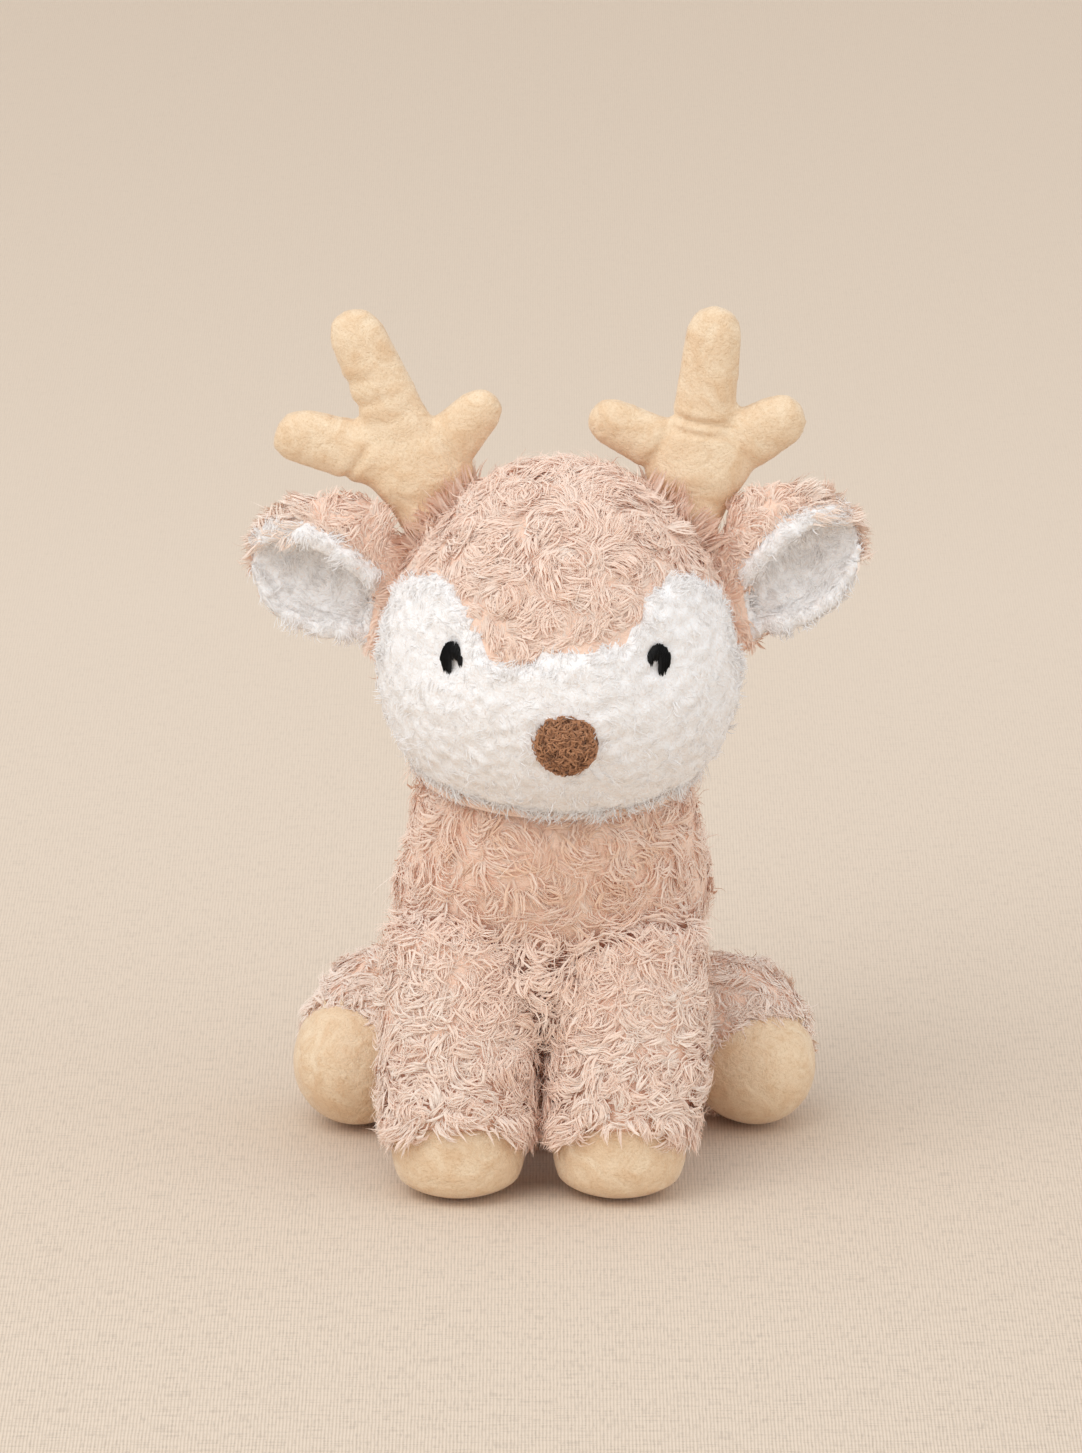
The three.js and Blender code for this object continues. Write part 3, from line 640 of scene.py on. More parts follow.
def pile_material(name, tints, root_shade, roughness=0.9, sheen=0.3, specular=0.15):
    """Pile whose tint is read across its map, with roots darkened as painted shade deep in the pile,
    and fine fibres along each lock.
    """
    def paint(tree):
        place = joined(tree, "ShaderNodeUVMap", uv_map="OFBake").outputs[0]
        parts = joined(tree, "ShaderNodeSeparateXYZ", (0, place))
        body = ramp(tree, parts.outputs[0], *tints)
        # Painted shade: each lock darkens towards its root, as the shade deep in the pile.
        depth = ramp(tree, parts.outputs[1], (0, (root_shade,) * 3), (0.45, (0.93,) * 3), (1, WHITE))
        stretched = joined(tree, "ShaderNodeMapping", (0, place), ("Scale", (420, 5, 1))).outputs[0]
        fibre = noise_in(tree, stretched, 1.0)
        streak = ramp(tree, fibre, (0.32, (0.94, 0.89, 0.85)), (0.6, WHITE))
        shade = mixed(tree, body, depth, 1.0, "MULTIPLY")
        return mixed(tree, shade, streak, 1.0, "MULTIPLY"), bump_in(tree, fibre, 0.5, 0.2 * MM)
    return cloth_material(name, paint, roughness, sheen, specular=specular)


def curl_material():
    look = bpy.context.scene.plush_deer.curls
    return pile_material("pink_curls", (
        (0.0, look.light), (0.35, look.middle), (0.65, look.middle), (1.0, look.warm_and_shaded)), 0.84)


def fleece_material():
    look = bpy.context.scene.plush_deer.fleece
    return pile_material("white_fleece", (
        (0.0, look.middle), (0.5, look.light), (1.0, look.light)), 0.86)


def nose_material():
    look = bpy.context.scene.plush_deer.trim
    return pile_material("brown_pile", ((0.0, look.nose_shade), (0.4, look.nose), (1.0, look.nose)),
                         0.6, 0.8, 0.2)


def thread_material():
    shade = bpy.context.scene.plush_deer.trim.thread
    dark = tuple(0.6 * value for value in shade)
    return pile_material("satin_thread", ((0.0, shade), (1.0, dark)), 0.9, 0.5, 0.0, 0.3)


def backing_material(name, shade):
    """A knitted backing that shows only between the locks."""
    dark = tuple(value * share for value, share in zip(shade, (0.9, 0.82, 0.76)))

    def paint(tree):
        curls = noise_in(tree, place_in(tree), 420.0, 5.0, 0.65, 3.0)
        return ramp(tree, curls, (0.3, dark), (0.55, shade)), bump_in(tree, curls, 0.6, 0.9 * MM)
    return cloth_material(name, paint)


def pink_backing():
    return backing_material("pink_backing", bpy.context.scene.plush_deer.curls.backing)


def white_backing():
    return backing_material("white_backing", bpy.context.scene.plush_deer.fleece.backing)


def velour_material():
    """Short brushed nap: soft patches where it lies another way, and fine flecks."""
    look = bpy.context.scene.plush_deer.velour

    def paint(tree):
        place = place_in(tree)
        patches = noise_in(tree, place, 95.0, 4.0, 0.6, 1.4)
        creased = noise_in(tree, place, 420.0, 3.0, distortion=2.5)
        nap = noise_in(tree, place, look.nap, 2.0, 0.7, 0.8)
        brushed = ramp(tree, patches, (0.36, (0, 0, 0)), (0.66, WHITE))
        body = mixed(tree, look.light, look.shade, brushed)
        marks = ramp(tree, creased, (0.34, (0.9, 0.86, 0.8)), (0.46, WHITE), (0.7, WHITE))
        fleck = ramp(tree, nap, (0.32, (0.86, 0.81, 0.74)), (0.52, WHITE), (0.8, WHITE))
        body = mixed(tree, body, marks, 0.7, "MULTIPLY")
        soft = bump_in(tree, patches, 0.5, 2.0 * MM)
        dents = bump_in(tree, creased, 0.5, 0.7 * MM, soft)
        return mixed(tree, body, fleck, 0.8, "MULTIPLY"), bump_in(tree, nap, 0.5, 0.3 * MM, dents)
    return cloth_material("brushed_velour", paint, 0.9, 0.3, 0.35, 0.1)


def linen_material():
    """A plain weave, nine threads to the centimetre, with slubs, paler where it rises behind."""
    look = bpy.context.scene.plush_deer.stage

    def paint(tree):
        place = place_in(tree)
        heights = []
        for scale in ((1.0, 0.12, 0.12), (0.08, 1.0, 1.0)):
            stretched = joined(tree, "ShaderNodeMapping", (0, place), ("Scale", scale)).outputs[0]
            heights.append(noise_in(tree, stretched, 1100.0))
        weave = joined(tree, "ShaderNodeMath", *enumerate(heights), operation="ADD").outputs[0]
        away = joined(tree, "ShaderNodeSeparateXYZ", (0, place)).outputs[1]
        distance = joined(tree, "ShaderNodeMapRange", (0, away), (1, -0.3), (2, 1.2)).outputs[0]
        faint = joined(tree, "ShaderNodeMapRange", (0, away), (1, -0.3), (2, 0.7),
                       (3, 1.0), (4, 0.2)).outputs[0]
        slubs = mixed(tree, WHITE, ramp(tree, weave, (0.78, (0.84,) * 3), (1.05, WHITE)), faint)
        for direction in ("X", "Y"):
            band = joined(tree, "ShaderNodeTexWave", ("Vector", place), ("Scale", 286.0),
                          ("Distortion", 1.2), ("Detail", 1.0), ("Detail Scale", 0.3),
                          bands_direction=direction).outputs[0]
            thread = ramp(tree, band, (0.15, (0.84, 0.82, 0.79)), (0.65, WHITE))
            slubs = mixed(tree, slubs, mixed(tree, WHITE, thread, faint), 1.0, "MULTIPLY")
        cloth = mixed(tree, look.floor, look.cloth, distance)
        return mixed(tree, cloth, slubs, 1.0, "MULTIPLY"), bump_in(tree, weave, 0.3, 0.5 * MM)
    return cloth_material("linen", paint, 0.95, 0.1)


# Forms.

HEAD_CENTRE = np.array([1.195, -13.489, 178.4]) * MM
HEAD_HALF = np.array([60.3, 58.0, 62.0]) * MM
NECK_CENTRE = np.array([-0.305, -5.489, 112.0]) * MM
NECK_RADIUS = 50 * MM
FUR_DEPTH = 2.0 * MM
NOISE_SHIFTS = tuple(Vector((0, 0, shift)) for shift in (0, 37.1, 71.3))
HEAD_PANELS = ("face_mask", "forehead_panel", "head_back_left", "head_back_right")
TORSO = ("chest_panel", "back_panel_left", "back_panel_right", "base_panel")
ACROSS_Y, ACROSS_Z = np.array([1, 0, 1]), np.array([1, 1, 0])


def off_neck(points):
    """How far points lie outside the ball in which the neck turns."""
    return lengths(points - NECK_CENTRE) - NECK_RADIUS


def down(points):
    return np.tile([0.0, 0.0, -1.0], (len(points), 1))


def head_surface(ways, inset=0.0):
    """Points of the head's egg, with its narrower crown and its muzzle, along unit directions."""
    muzzle = unit(np.array([0.05, -1, -0.3]))
    angle = np.arccos(np.clip(ways @ muzzle, -1, 1))
    half = HEAD_HALF - inset + 7 * MM * bell(angle, math.radians(34))[:, None]
    half[:, 0] -= (HEAD_HALF[0] - inset) * 0.1 * ways[:, 2]
    return HEAD_CENTRE + ways * half


def features():
    """The middles of the two eyes and the nose, from their solids."""
    return [np.array(sum(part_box(node), Vector()) / 2) for node in ("eye_left", "eye_right", "nose")]


def head_form(inset):
    """The head as one closed stuffed body, with dimples for the eyes and a bowl below for the neck."""
    bm = bmesh.new()
    bmesh.ops.create_icosphere(bm, subdivisions=5, radius=1)
    head = from_bmesh("head_body", bm, pink_backing())
    points = head_surface(unit(points_of(head)), inset)
    for eye in features()[:2]:
        near = bell(lengths(points - eye), 8.5 * MM)
        points += unit(HEAD_CENTRE - eye) * (near * 3.2 * MM)[:, None]
    bowl = points - NECK_CENTRE
    rim = NECK_RADIUS + 1.5 * MM
    place_points(head, NECK_CENTRE + bowl * np.maximum(rim / lengths(bowl), 1)[:, None])
    return head


def gaps_to(tree, points):
    return np.array([tree.find_nearest(point)[3] for point in points])


def panel_picker(*wanted, among):
    """For points near a body, 1 where the nearest of its panels is a wanted one."""
    trees = [tree_of(node) for node in among]
    chosen = np.array([float(node in wanted) for node in among])

    def pick(points):
        return chosen[np.argmin([gaps_to(tree, points) for tree in trees], axis=0)]
    return pick


def in_order(bm):
    """The same faces in an order, and from a first corner, that don't change from run to run."""
    loops = []
    for face in bm.faces:
        corners = [tuple(vert.co) for vert in face.verts]
        start = corners.index(min(corners))
        loops.append(corners[start:] + corners[:start])
    bm.free()
    fresh, made = bmesh.new(), {}
    for corners in sorted(loops):
        for corner in corners:
            if corner not in made:
                made[corner] = fresh.verts.new(corner)
        fresh.faces.new([made[corner] for corner in corners])
    return fresh


def raised_panel(name, body, node, piece, pick, height, finer=0):
    """A closed fleecy panel on the picked part of a piece, with soft bumps that sink at its rim."""
    bm = copied(piece)
    wanted = pick(np.array([face.calc_center_median() for face in bm.faces]))
    others = [face for face, chosen in zip(bm.faces, wanted) if not chosen]
    bmesh.ops.delete(bm, geom=others, context="FACES")
    for _ in range(finer):
        bmesh.ops.subdivide_edges(bm, edges=bm.edges[:], cuts=1, use_grid_fill=True)
        bmesh.ops.smooth_vert(bm, verts=bm.verts, factor=0.4,
                              use_axis_x=True, use_axis_y=True, use_axis_z=True)
    rim = [vert.co.copy() for vert in bm.verts if vert.is_boundary]
    bm.normal_update()
    foot = [(vert, vert.normal.copy()) for vert in bm.verts]
    upper = bmesh.ops.extrude_face_region(bm, geom=bm.faces[:])["geom"]
    upper = [vert for vert in upper if isinstance(vert, bmesh.types.BMVert)]
    _, inward = nearest(np.array([vert.co for vert in upper]), rim)
    for vert, share in zip(upper, smoothstep(inward / (3.5 * MM))):
        wander = Vector([noise.noise(vert.co / (3.0 * MM) + shift) for shift in NOISE_SHIFTS])
        strayed = vert.co + wander * 1.4 * MM
        bumps = noise.noise(vert.co / (4.2 * MM)) + 0.45 * abs(noise.noise(strayed / (1.7 * MM)))
        fuzz = noise.noise(strayed / (0.7 * MM))
        vert.co += vert.normal * (0.3 * MM + share * (height + (bumps * 1.1 + fuzz * 0.28) * MM))
    for vert, way in foot:
        vert.co -= way * 0.4 * MM
    bmesh.ops.recalc_face_normals(bm, faces=bm.faces)
    return finished(from_bmesh(name, in_order(bm), white_backing()), body, "white_plush", node)


def facing_away(tree):
    """For points of a thin layer, 1 on the side that faces away from the layer in the tree."""
    return lambda points: np.where(gaps_to(tree, points) < 1.0 * MM, 0.02, 1.0)


def lip_of(back, lining, step=0.6 * MM):
    """For points of an ear's back, whether they show in front within some width of its white cup."""
    trees = tree_from(copied(back)), tree_from(copied(lining))
    points = points_of(back)
    low, high = points.min(axis=0), points.max(axis=0)

    def seen(tree, x, z):
        return tree.ray_cast(Vector((x, low[1] - 0.05, z)), Vector((0, 1, 0)))[0]
    cup = []
    for x in np.arange(low[0], high[0], step):
        for z in np.arange(low[2], high[2], step):
            hits = [seen(tree, x, z) for tree in trees]
            if hits[1] and (not hits[0] or hits[1].y < hits[0].y):
                cup.append((x, 0, z))
    cup = np.array(cup)

    def lip(at, width):
        _, away = nearest(at * ACROSS_Y, cup)
        front = [seen(trees[0], x, z) for x, _, z in at]
        shows = np.array([bool(hit) and y < hit.y + 1.2 * MM for hit, (_, y, _) in zip(front, at)])
        return shows & (away < width)
    return lip


def clear_of(*nodes, gap):
    """For points, whether each keeps a gap from the solids."""
    trees = [tree_of(node) for node in nodes]
    return lambda points: np.all([gaps_to(tree, points) > gap for tree in trees], axis=0)


def coat_form(name, *nodes, bridge=False):
    """The torso and what is sewn to it as one soft form, on which neighbouring coats meet. A bridge
    fills the gap between the tops of the forelegs."""
    bm = merged(*TORSO, "torso_filling", *nodes)
    if bridge:
        hit = tree_of(*nodes).ray_cast(Vector((-22 * MM, -0.3, 68 * MM)), Vector((0, 1, 0)))[0]
        place = Matrix.Translation((-4.5 * MM, hit.y + 10 * MM, 66 * MM))
        place = place @ Matrix.Diagonal((15 * MM, 9 * MM, 17 * MM, 1))
        bmesh.ops.create_uvsphere(bm, u_segments=24, v_segments=16, radius=1, matrix=place)
    form = from_bmesh(name, bm)
    remeshed(form, 2.4 * MM, 14)
    return drawn_in(form, FUR_DEPTH)


def split(piece, point, normal, name, keep_above):
    """Half of a closed body, cut along a plane and closed there."""
    bm = copied(piece)
    cut = bmesh.ops.bisect_plane(
        bm, geom=bm.verts[:] + bm.edges[:] + bm.faces[:], plane_co=point, plane_no=normal,
        clear_outer=not keep_above, clear_inner=keep_above)
    edges = [item for item in cut["geom_cut"] if isinstance(item, bmesh.types.BMEdge)]
    bmesh.ops.edgeloop_fill(bm, edges=edges)
    bmesh.ops.triangulate(bm, faces=[face for face in bm.faces if len(face.verts) > 4])
    bmesh.ops.recalc_face_normals(bm, faces=bm.faces)
    return from_bmesh(name, bm)


def gathered(piece, point, normal, pinch, width):
    """Draws a body in towards its seam, as a fabric does where it is sewn."""
    away = np.abs((points_of(piece) - np.array(point)) @ np.array(normal))
    place_points(piece, points_of(piece) - normals_of(piece) * (bell(away, width) * pinch)[:, None])


def padded_leg(leg, nodes, voxel, foot_name, seam, way, foot_above, inset, sewn_above=None):
    """The padded foot of a leg and its padded sleeve, on either side of the seam between them."""
    whole = from_bmesh(f"{leg}_whole", merged(*nodes))
    remeshed(whole, voxel, 6)
    foot = split(whole, seam, way, foot_name, foot_above)
    remeshed(foot, 1.5 * MM, 6)
    stuffed(foot, 4, 1.6 * MM, 1.0 * (points_of(foot)[:, 2] < 2.5 * MM))
    drawn_in(foot, inset, 2)
    foot.data.materials.append(velour_material())
    gathered(foot, seam, way, 1.6 * MM, 3 * MM)
    finished(foot, leg, "cream_velour", nodes[1], fill=0.85)
    drawn_in(whole, FUR_DEPTH)
    under_foot = 4 * MM if foot_above else -4 * MM
    sleeve = split(whole, seam + way * under_foot, way, f"{leg}_body", not foot_above)
    bpy.data.objects.remove(whole)
    remeshed(sleeve, 2.4 * MM, 3)
    sleeve.data.materials.append(pink_backing())
    sewn = None if sewn_above is None else 1.0 * (points_of(sleeve)[:, 2] > sewn_above)
    stuffed(sleeve, 3, 1.5 * MM, sewn)
    return finished(sleeve, leg, "pink_plush", nodes[2], fill=0.8)


class DEER_OT_head(Operator):
    """Builds the stuffed body of the head"""
    bl_idname = "deer.make_head"
    bl_label = "Head body"

    def execute(self, context):
        body = head_form(FUR_DEPTH)
        points = points_of(body)
        seam = bell(points[:, 0] - HEAD_CENTRE[0], 2.5 * MM) * (points[:, 1] > -15 * MM)
        front = bell(points[:, 1] + 16.5 * MM, 2.5 * MM)
        bowl = off_neck(points) < 4 * MM
        stuffed(body, 3, 1.5 * MM, np.clip(np.maximum(seam, front) + bowl, 0, 1))
        finished(body, "head", "pink_plush", "head_filling", fill=0.8)
        return {"FINISHED"}


class DEER_OT_coat_head(Operator):
    """Builds the pile of the forehead, of the two panels behind it and round the antlers"""
    bl_idname = "deer.coat_head"
    bl_label = "Head coat"

    def execute(self, context):
        body = bpy.data.objects["head_body"]
        off_others = clear_of("antler_left_filling", "antler_right_filling", "nose", gap=1.2 * MM)
        off_mask = clear_of("face_mask", gap=1.0 * MM)
        mask = tree_of("face_mask")
        brow = HEAD_CENTRE + np.array([0, -30, 62]) * MM

        def short(points):
            return 0.5 + 0.5 * smoothstep(gaps_to(mask, points) / (10 * MM))
        for name, count, seed in (("forehead_panel", 9000, 11), ("head_back_left", 4600, 12),
                                  ("head_back_right", 4600, 13)):
            ground = Ground(body, panel_picker(name, among=HEAD_PANELS))
            whole, away = ground.areas, off_neck(ground.middles)
            ground.areas = whole * (away > 3 * MM)
            curly_pile(name.replace("_panel", "") + "_pile", "head", name, ground, count, seed,
                       lambda at: at - brow, keep=lambda at: off_others(at) & off_mask(at), short=short)
            if name != "forehead_panel":
                low_down = ground.middles[:, 2] < HEAD_CENTRE[2] - 14 * MM
                ground.areas = whole * (away < 7 * MM) * low_down
                curly_pile(name + "_hem", "head", name, ground, 800, seed + 5, down, comb_share=3,
                           bend=60 * MM, size=0.9, rise=(0.9, 0.2), curl=0.5)
        for side, x, seed in (("left", -42.5, 14), ("right", 45.5, 15)):
            low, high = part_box(f"antler_{side}_filling")
            root = np.array([x * MM, (low.y + high.y) / 2, 219 * MM])
            ground = Ground(body)
            ground.areas *= lengths(ground.middles - root) < 19 * MM
            curly_pile(f"antler_ruff_{side}", "head", None, ground, 900, seed,
                       lambda at: at - root + np.array([0, 0, 20]) * MM, comb_share=2, bend=60 * MM,
                       size=1.1, keep=off_others, rise=(1.35, 0.7), rings=FINE, curl=0.5)
        return {"FINISHED"}


class DEER_OT_face(Operator):
    """Builds the white fleece of the face mask"""
    bl_idname = "deer.make_face"
    bl_label = "Face mask"

    def execute(self, context):
        body = bpy.data.objects["head_body"]
        left, right, nose = features()
        on_mask = panel_picker("face_mask", among=HEAD_PANELS)
        low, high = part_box("nose")
        eye_half = np.array([4.0, 99, 5.2]) * MM
        bare = ((nose, np.array((high - low) / 2) * 0.86), (left, eye_half), (right, eye_half))

        def keep(points):
            ways = ((points - middle) / half for middle, half in bare)
            return np.all([np.hypot(way[:, 0], way[:, 2]) > 1 for way in ways], axis=0)

        def short(points):
            away = np.minimum(lengths(points - left), lengths(points - right))
            return 0.5 + 0.5 * smoothstep((away - 5 * MM) / (7 * MM))

        def outward(points):
            out = unit(points - nose) * 0.5
            for eye in (left, right):
                away = points - eye
                out += unit(away) * bell(lengths(away), 9 * MM)[:, None] * 2
            return out
        fleece = raised_panel("face_mask_pad", "head", "face_mask", body,
                              lambda at: on_mask(at) * (off_neck(at) > 1.6 * MM), 1.7 * MM, finer=2)
        inner = clear_of("forehead_panel", "head_back_left", "head_back_right", gap=6 * MM)
        for side, sign, seed in (("left", -1, 21), ("right", 1, 22)):
            ground = Ground(fleece, lambda at: (at[:, 0] - HEAD_CENTRE[0]) * sign > 0)
            ground.areas *= off_neck(ground.middles) > 1.8 * MM
            ground.areas *= 1 - 0.8 * inner(ground.middles)
            fleece_pile(f"face_mask_fleece_{side}", "head", "face_mask", ground, 3400, seed,
                        size=1.2, keep=keep, short=short, comb=outward)
        hem = Ground(fleece)
        hem.areas *= (off_neck(hem.middles) < 8 * MM) & (hem.middles[:, 2] < HEAD_CENTRE[2] - 20 * MM)
        fleece_pile("face_mask_hem", "head", "face_mask", hem, 2000, 23, size=2.1,
                    comb=lambda at: 3 * down(at))
        return {"FINISHED"}


class DEER_OT_nose(Operator):
    """Builds the padded nose and its short brown pile"""
    bl_idname = "deer.make_nose"
    bl_label = "Nose"

    def execute(self, context):
        trim = context.scene.plush_deer.trim
        pad = from_bmesh("nose_pad", merged("nose"), backing_material("nose_backing", trim.nose_shade))
        remeshed(pad, 0.8 * MM, 6)
        drawn_in(pad, 0.7 * MM)
        draw = np.random.default_rng(31)
        ground = Ground(pad, lambda at: at[:, 1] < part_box("nose")[0].y + 9 * MM)
        roots, normals = ground.scatter(trim.fibres, draw)
        number = len(roots)
        paths = laid(roots, normals, draw.normal(size=(number, 3)) + np.array([0, 0, -0.4]),
                     draw.normal(0, 2.0, number),
                     (draw.normal(0.8, 0.25, number), draw.normal(-0.5, 0.3, number)),
                     draw.normal(4.0, 0.6, number).clip(1.5, 5) * MM, 6 * MM, FINE)
        pile = stamped("nose_pile", paths, normals, draw.normal(0.44, 0.07, number).clip(0.1, 0.6) * MM,
                       draw.normal(0.5, 0.33, number), nose_material())
        finished(pad, "head", "brown_plush", "nose", fill=0.8)
        finished(pile, "head", "brown_plush")
        return {"FINISHED"}


STITCH_LAYERS, STITCHES = 3, 13


class DEER_OT_eyes(Operator):
    """Builds the satin stitched eyes, each an oval with a pale wedge left open at its inner foot"""
    bl_idname = "deer.make_eyes"
    bl_label = "Eyes"

    def execute(self, context):
        for side, middle, inwards in zip(SIDES, features(), (1, -1)):
            low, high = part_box(f"eye_{side}")
            width, height = (high - low).x / 2 * 1.12, (high - low).z / 2
            out = unit(middle - HEAD_CENTRE)
            across = unit(np.cross(np.array([0, 0, 1.0]), out))
            rise = np.cross(out, across)
            middle = middle - out * 1.0 * MM
            draw = np.random.default_rng(41)
            paths, radii = [], []
            for layer in range(STITCH_LAYERS):
                for k in range(STITCHES):
                    x = (k + 0.5 + draw.normal(0, 0.15)) / STITCHES * 2 - 1
                    tall = math.sqrt(max(1 - x * x, 0.02))
                    top, foot = tall * height, -tall * height
                    if x * inwards > 0.05:
                        foot = max(foot, -height * (0.02 + 1.3 * max(x * inwards - 0.5, 0)))
                    top += draw.normal(0, 0.25) * MM
                    foot += draw.normal(0, 0.25) * MM
                    lean = draw.normal(0, 0.3) * MM
                    shares = np.linspace(0, 1, FINE + 1)
                    crown = 0.3 + 0.35 * layer + 1.1 * np.sin(np.pi * shares)
                    crown = crown * MM * (0.4 + 0.6 * tall)
                    paths.append([
                        middle + across * (x * width + lean * (share - 0.5))
                        + rise * (top + (foot - top) * share) + out * height_here
                        for share, height_here in zip(shares, crown)])
                    radii.append(draw.normal(0.52, 0.05) * MM)
            eye = stamped(f"eye_{side}_stitches", np.array(paths), np.tile(out, (len(paths), 1)),
                          np.array(radii), draw.random(len(paths)), thread_material(),
                          0.8, (0.55, 1, 1, 0.9, 0))
            finished(eye, "head", "black_thread", f"eye_{side}")
        return {"FINISHED"}


class DEER_OT_ears(Operator):
    """Builds the cupped ears, pink outside and white inside"""
    bl_idname = "deer.make_ears"
    bl_label = "Ears"

    def execute(self, context):
        off_head = clear_of(*HEAD_PANELS, gap=4.5 * MM)
        for side, sign in zip(SIDES, (-1, 1)):
            ear = f"ear_{side}"
            pink, white = f"{ear}_back", f"{ear}_lining"
            low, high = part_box(pink)
            root = np.array([high.x if sign < 0 else low.x, (low.y + high.y) / 2, (low.z + high.z) / 2])

            def comb(points):
                return (points - root) * np.array([1, 1, 0.5])
            layers = []
            for part, node, voxel, slot, material in (
                    ("outer", pink, 0.9 * MM, "pink_plush", pink_backing()),
                    ("cup", white, 0.8 * MM, "white_plush", white_backing())):
                layer = from_bmesh(f"{ear}_{part}", merged(node), material)
                remeshed(layer, voxel)
                place_points(layer, root + (points_of(layer) - root) * np.array([0.95, 1, 0.93]))
                layers.append(finished(layer, ear, slot, node, fill=0.3))
            outer, cup = layers
            lip = lip_of(outer, cup)
            off_outer, off_cup = (facing_away(tree_from(copied(layer))) for layer in layers)
            back = Ground(outer, off_cup)
            whole = back.areas
            back.areas = whole * ~lip(back.middles, 4.6 * MM)
            curly_pile(f"{ear}_back_pile", ear, pink, back, 3600, 51 + sign, comb,
                       comb_share=0.9, bend=40 * MM, size=0.62)
            far = lengths(points_of(outer) - root).max() - 13 * MM
            back.areas = whole * (lengths(back.middles - root) > far)
            back.areas *= back.middles[:, 2] > root[2] + 2 * MM
            curly_pile(f"{ear}_tip_tuft", ear, pink, back, 700, 61 + sign, comb, comb_share=3,
                       bend=60 * MM, size=0.85, rise=(0.7, 0.25), curl=0.5,
                       shade=lambda at: np.full(len(at), -0.5))
            pad = raised_panel(f"{ear}_lining_pad", ear, white, cup,
                               lambda at: off_outer(at) > 0.5, 2.4 * MM)
            fleece_pile(f"{ear}_lining_fleece", ear, white, Ground(pad, off_outer), 1900, 55 + sign,
                        size=1.3, bend=200 * MM, comb=comb)
            roll = raised_panel(f"{ear}_lip_pad", ear, white, outer,
                                lambda at: lip(at, 6.4 * MM) & off_head(at), 2.2 * MM)
            rim = Ground(roll, lambda at: at[:, 1] < high.y)
            fleece_pile(f"{ear}_lip_fleece", ear, white, rim, 2800, 57 + sign, size=1.4, bend=9 * MM)
        return {"FINISHED"}


ANTLER_SEAM = 0.511 * MM
PALMS = {"left": -46.5 * MM, "right": 47 * MM}
# Each crease: a point of it in x and z, the way across it, its depth and its width, in millimetres.
CREASES = {
    "left": (((-52, 253), (-0.45, 0.89), 0.4, 2.6), ((-65.9, 236.5), (-0.84, 0.55), 1.0, 1.3),
             ((-34.2, 238.5), (0.84, 0.54), 1.3, 1.2), ((-67.5, 263.5), (-0.37, 0.93), 0.5, 1.6),
             ((-63.5, 256), (-0.37, 0.93), 0.6, 1.5)),
    "right": (((46.3, 251), (0.16, 0.99), 1.3, 1.1), ((46.5, 247), (0.16, 0.99), 0.6, 1.0),
              ((60, 243), (0.85, 0.53), 0.9, 1.5), ((33, 241), (-0.85, 0.53), 1.0, 1.4)),
}


class DEER_OT_antlers(Operator):
    """Builds the padded three-pronged antlers, creased where the prongs leave the palm"""
    bl_idname = "deer.make_antlers"
    bl_label = "Antlers"

    def execute(self, context):
        for side in SIDES:
            nodes = tuple(f"antler_{side}_{part}" for part in ("front", "back", "filling"))
            body = from_bmesh(f"antler_{side}", merged(*nodes), velour_material())
            remeshed(body, 1.7 * MM)
            points = points_of(body) + normals_of(body) * 0.7 * MM
            near = bell(points[:, 2] - 234 * MM, 11 * MM)
            points[:, 0] += near * 0.26 * np.clip(points[:, 0] - PALMS[side], -16 * MM, 16 * MM)
            points[:, 2] -= 0.07 * np.maximum(points[:, 2] - 250 * MM, 0)
            place_points(body, points)
            stuffed(body, 4, 2.2 * MM, bell(points[:, 1] - ANTLER_SEAM, 1.6 * MM))
            step = body.modifiers.new("smooth", "SUBSURF")
            step.levels = step.render_levels = 1
            applied(body)
            points, normals = points_of(body), normals_of(body)
            for (x, z), (dx, dz), depth, wide in CREASES[side]:
                right, up = points[:, 0] - x * MM, points[:, 2] - z * MM
                away = (right * dx + up * dz) / (wide * MM)
                near = bell(right * dz - up * dx, 9 * MM, 4) * depth * MM
                fold = (bell(away, 1) - 0.3 * bell(np.abs(away) - 2.4, 1.3)) * near
                points = points - normals * fold[:, None]
            seam = bell(points[:, 1] - ANTLER_SEAM, 0.7 * MM) * 0.45 * MM
            place_points(body, points - normals * seam[:, None])
            finished(body, f"antler_{side}", "cream_velour", *nodes, fill=0.8)
        return {"FINISHED"}


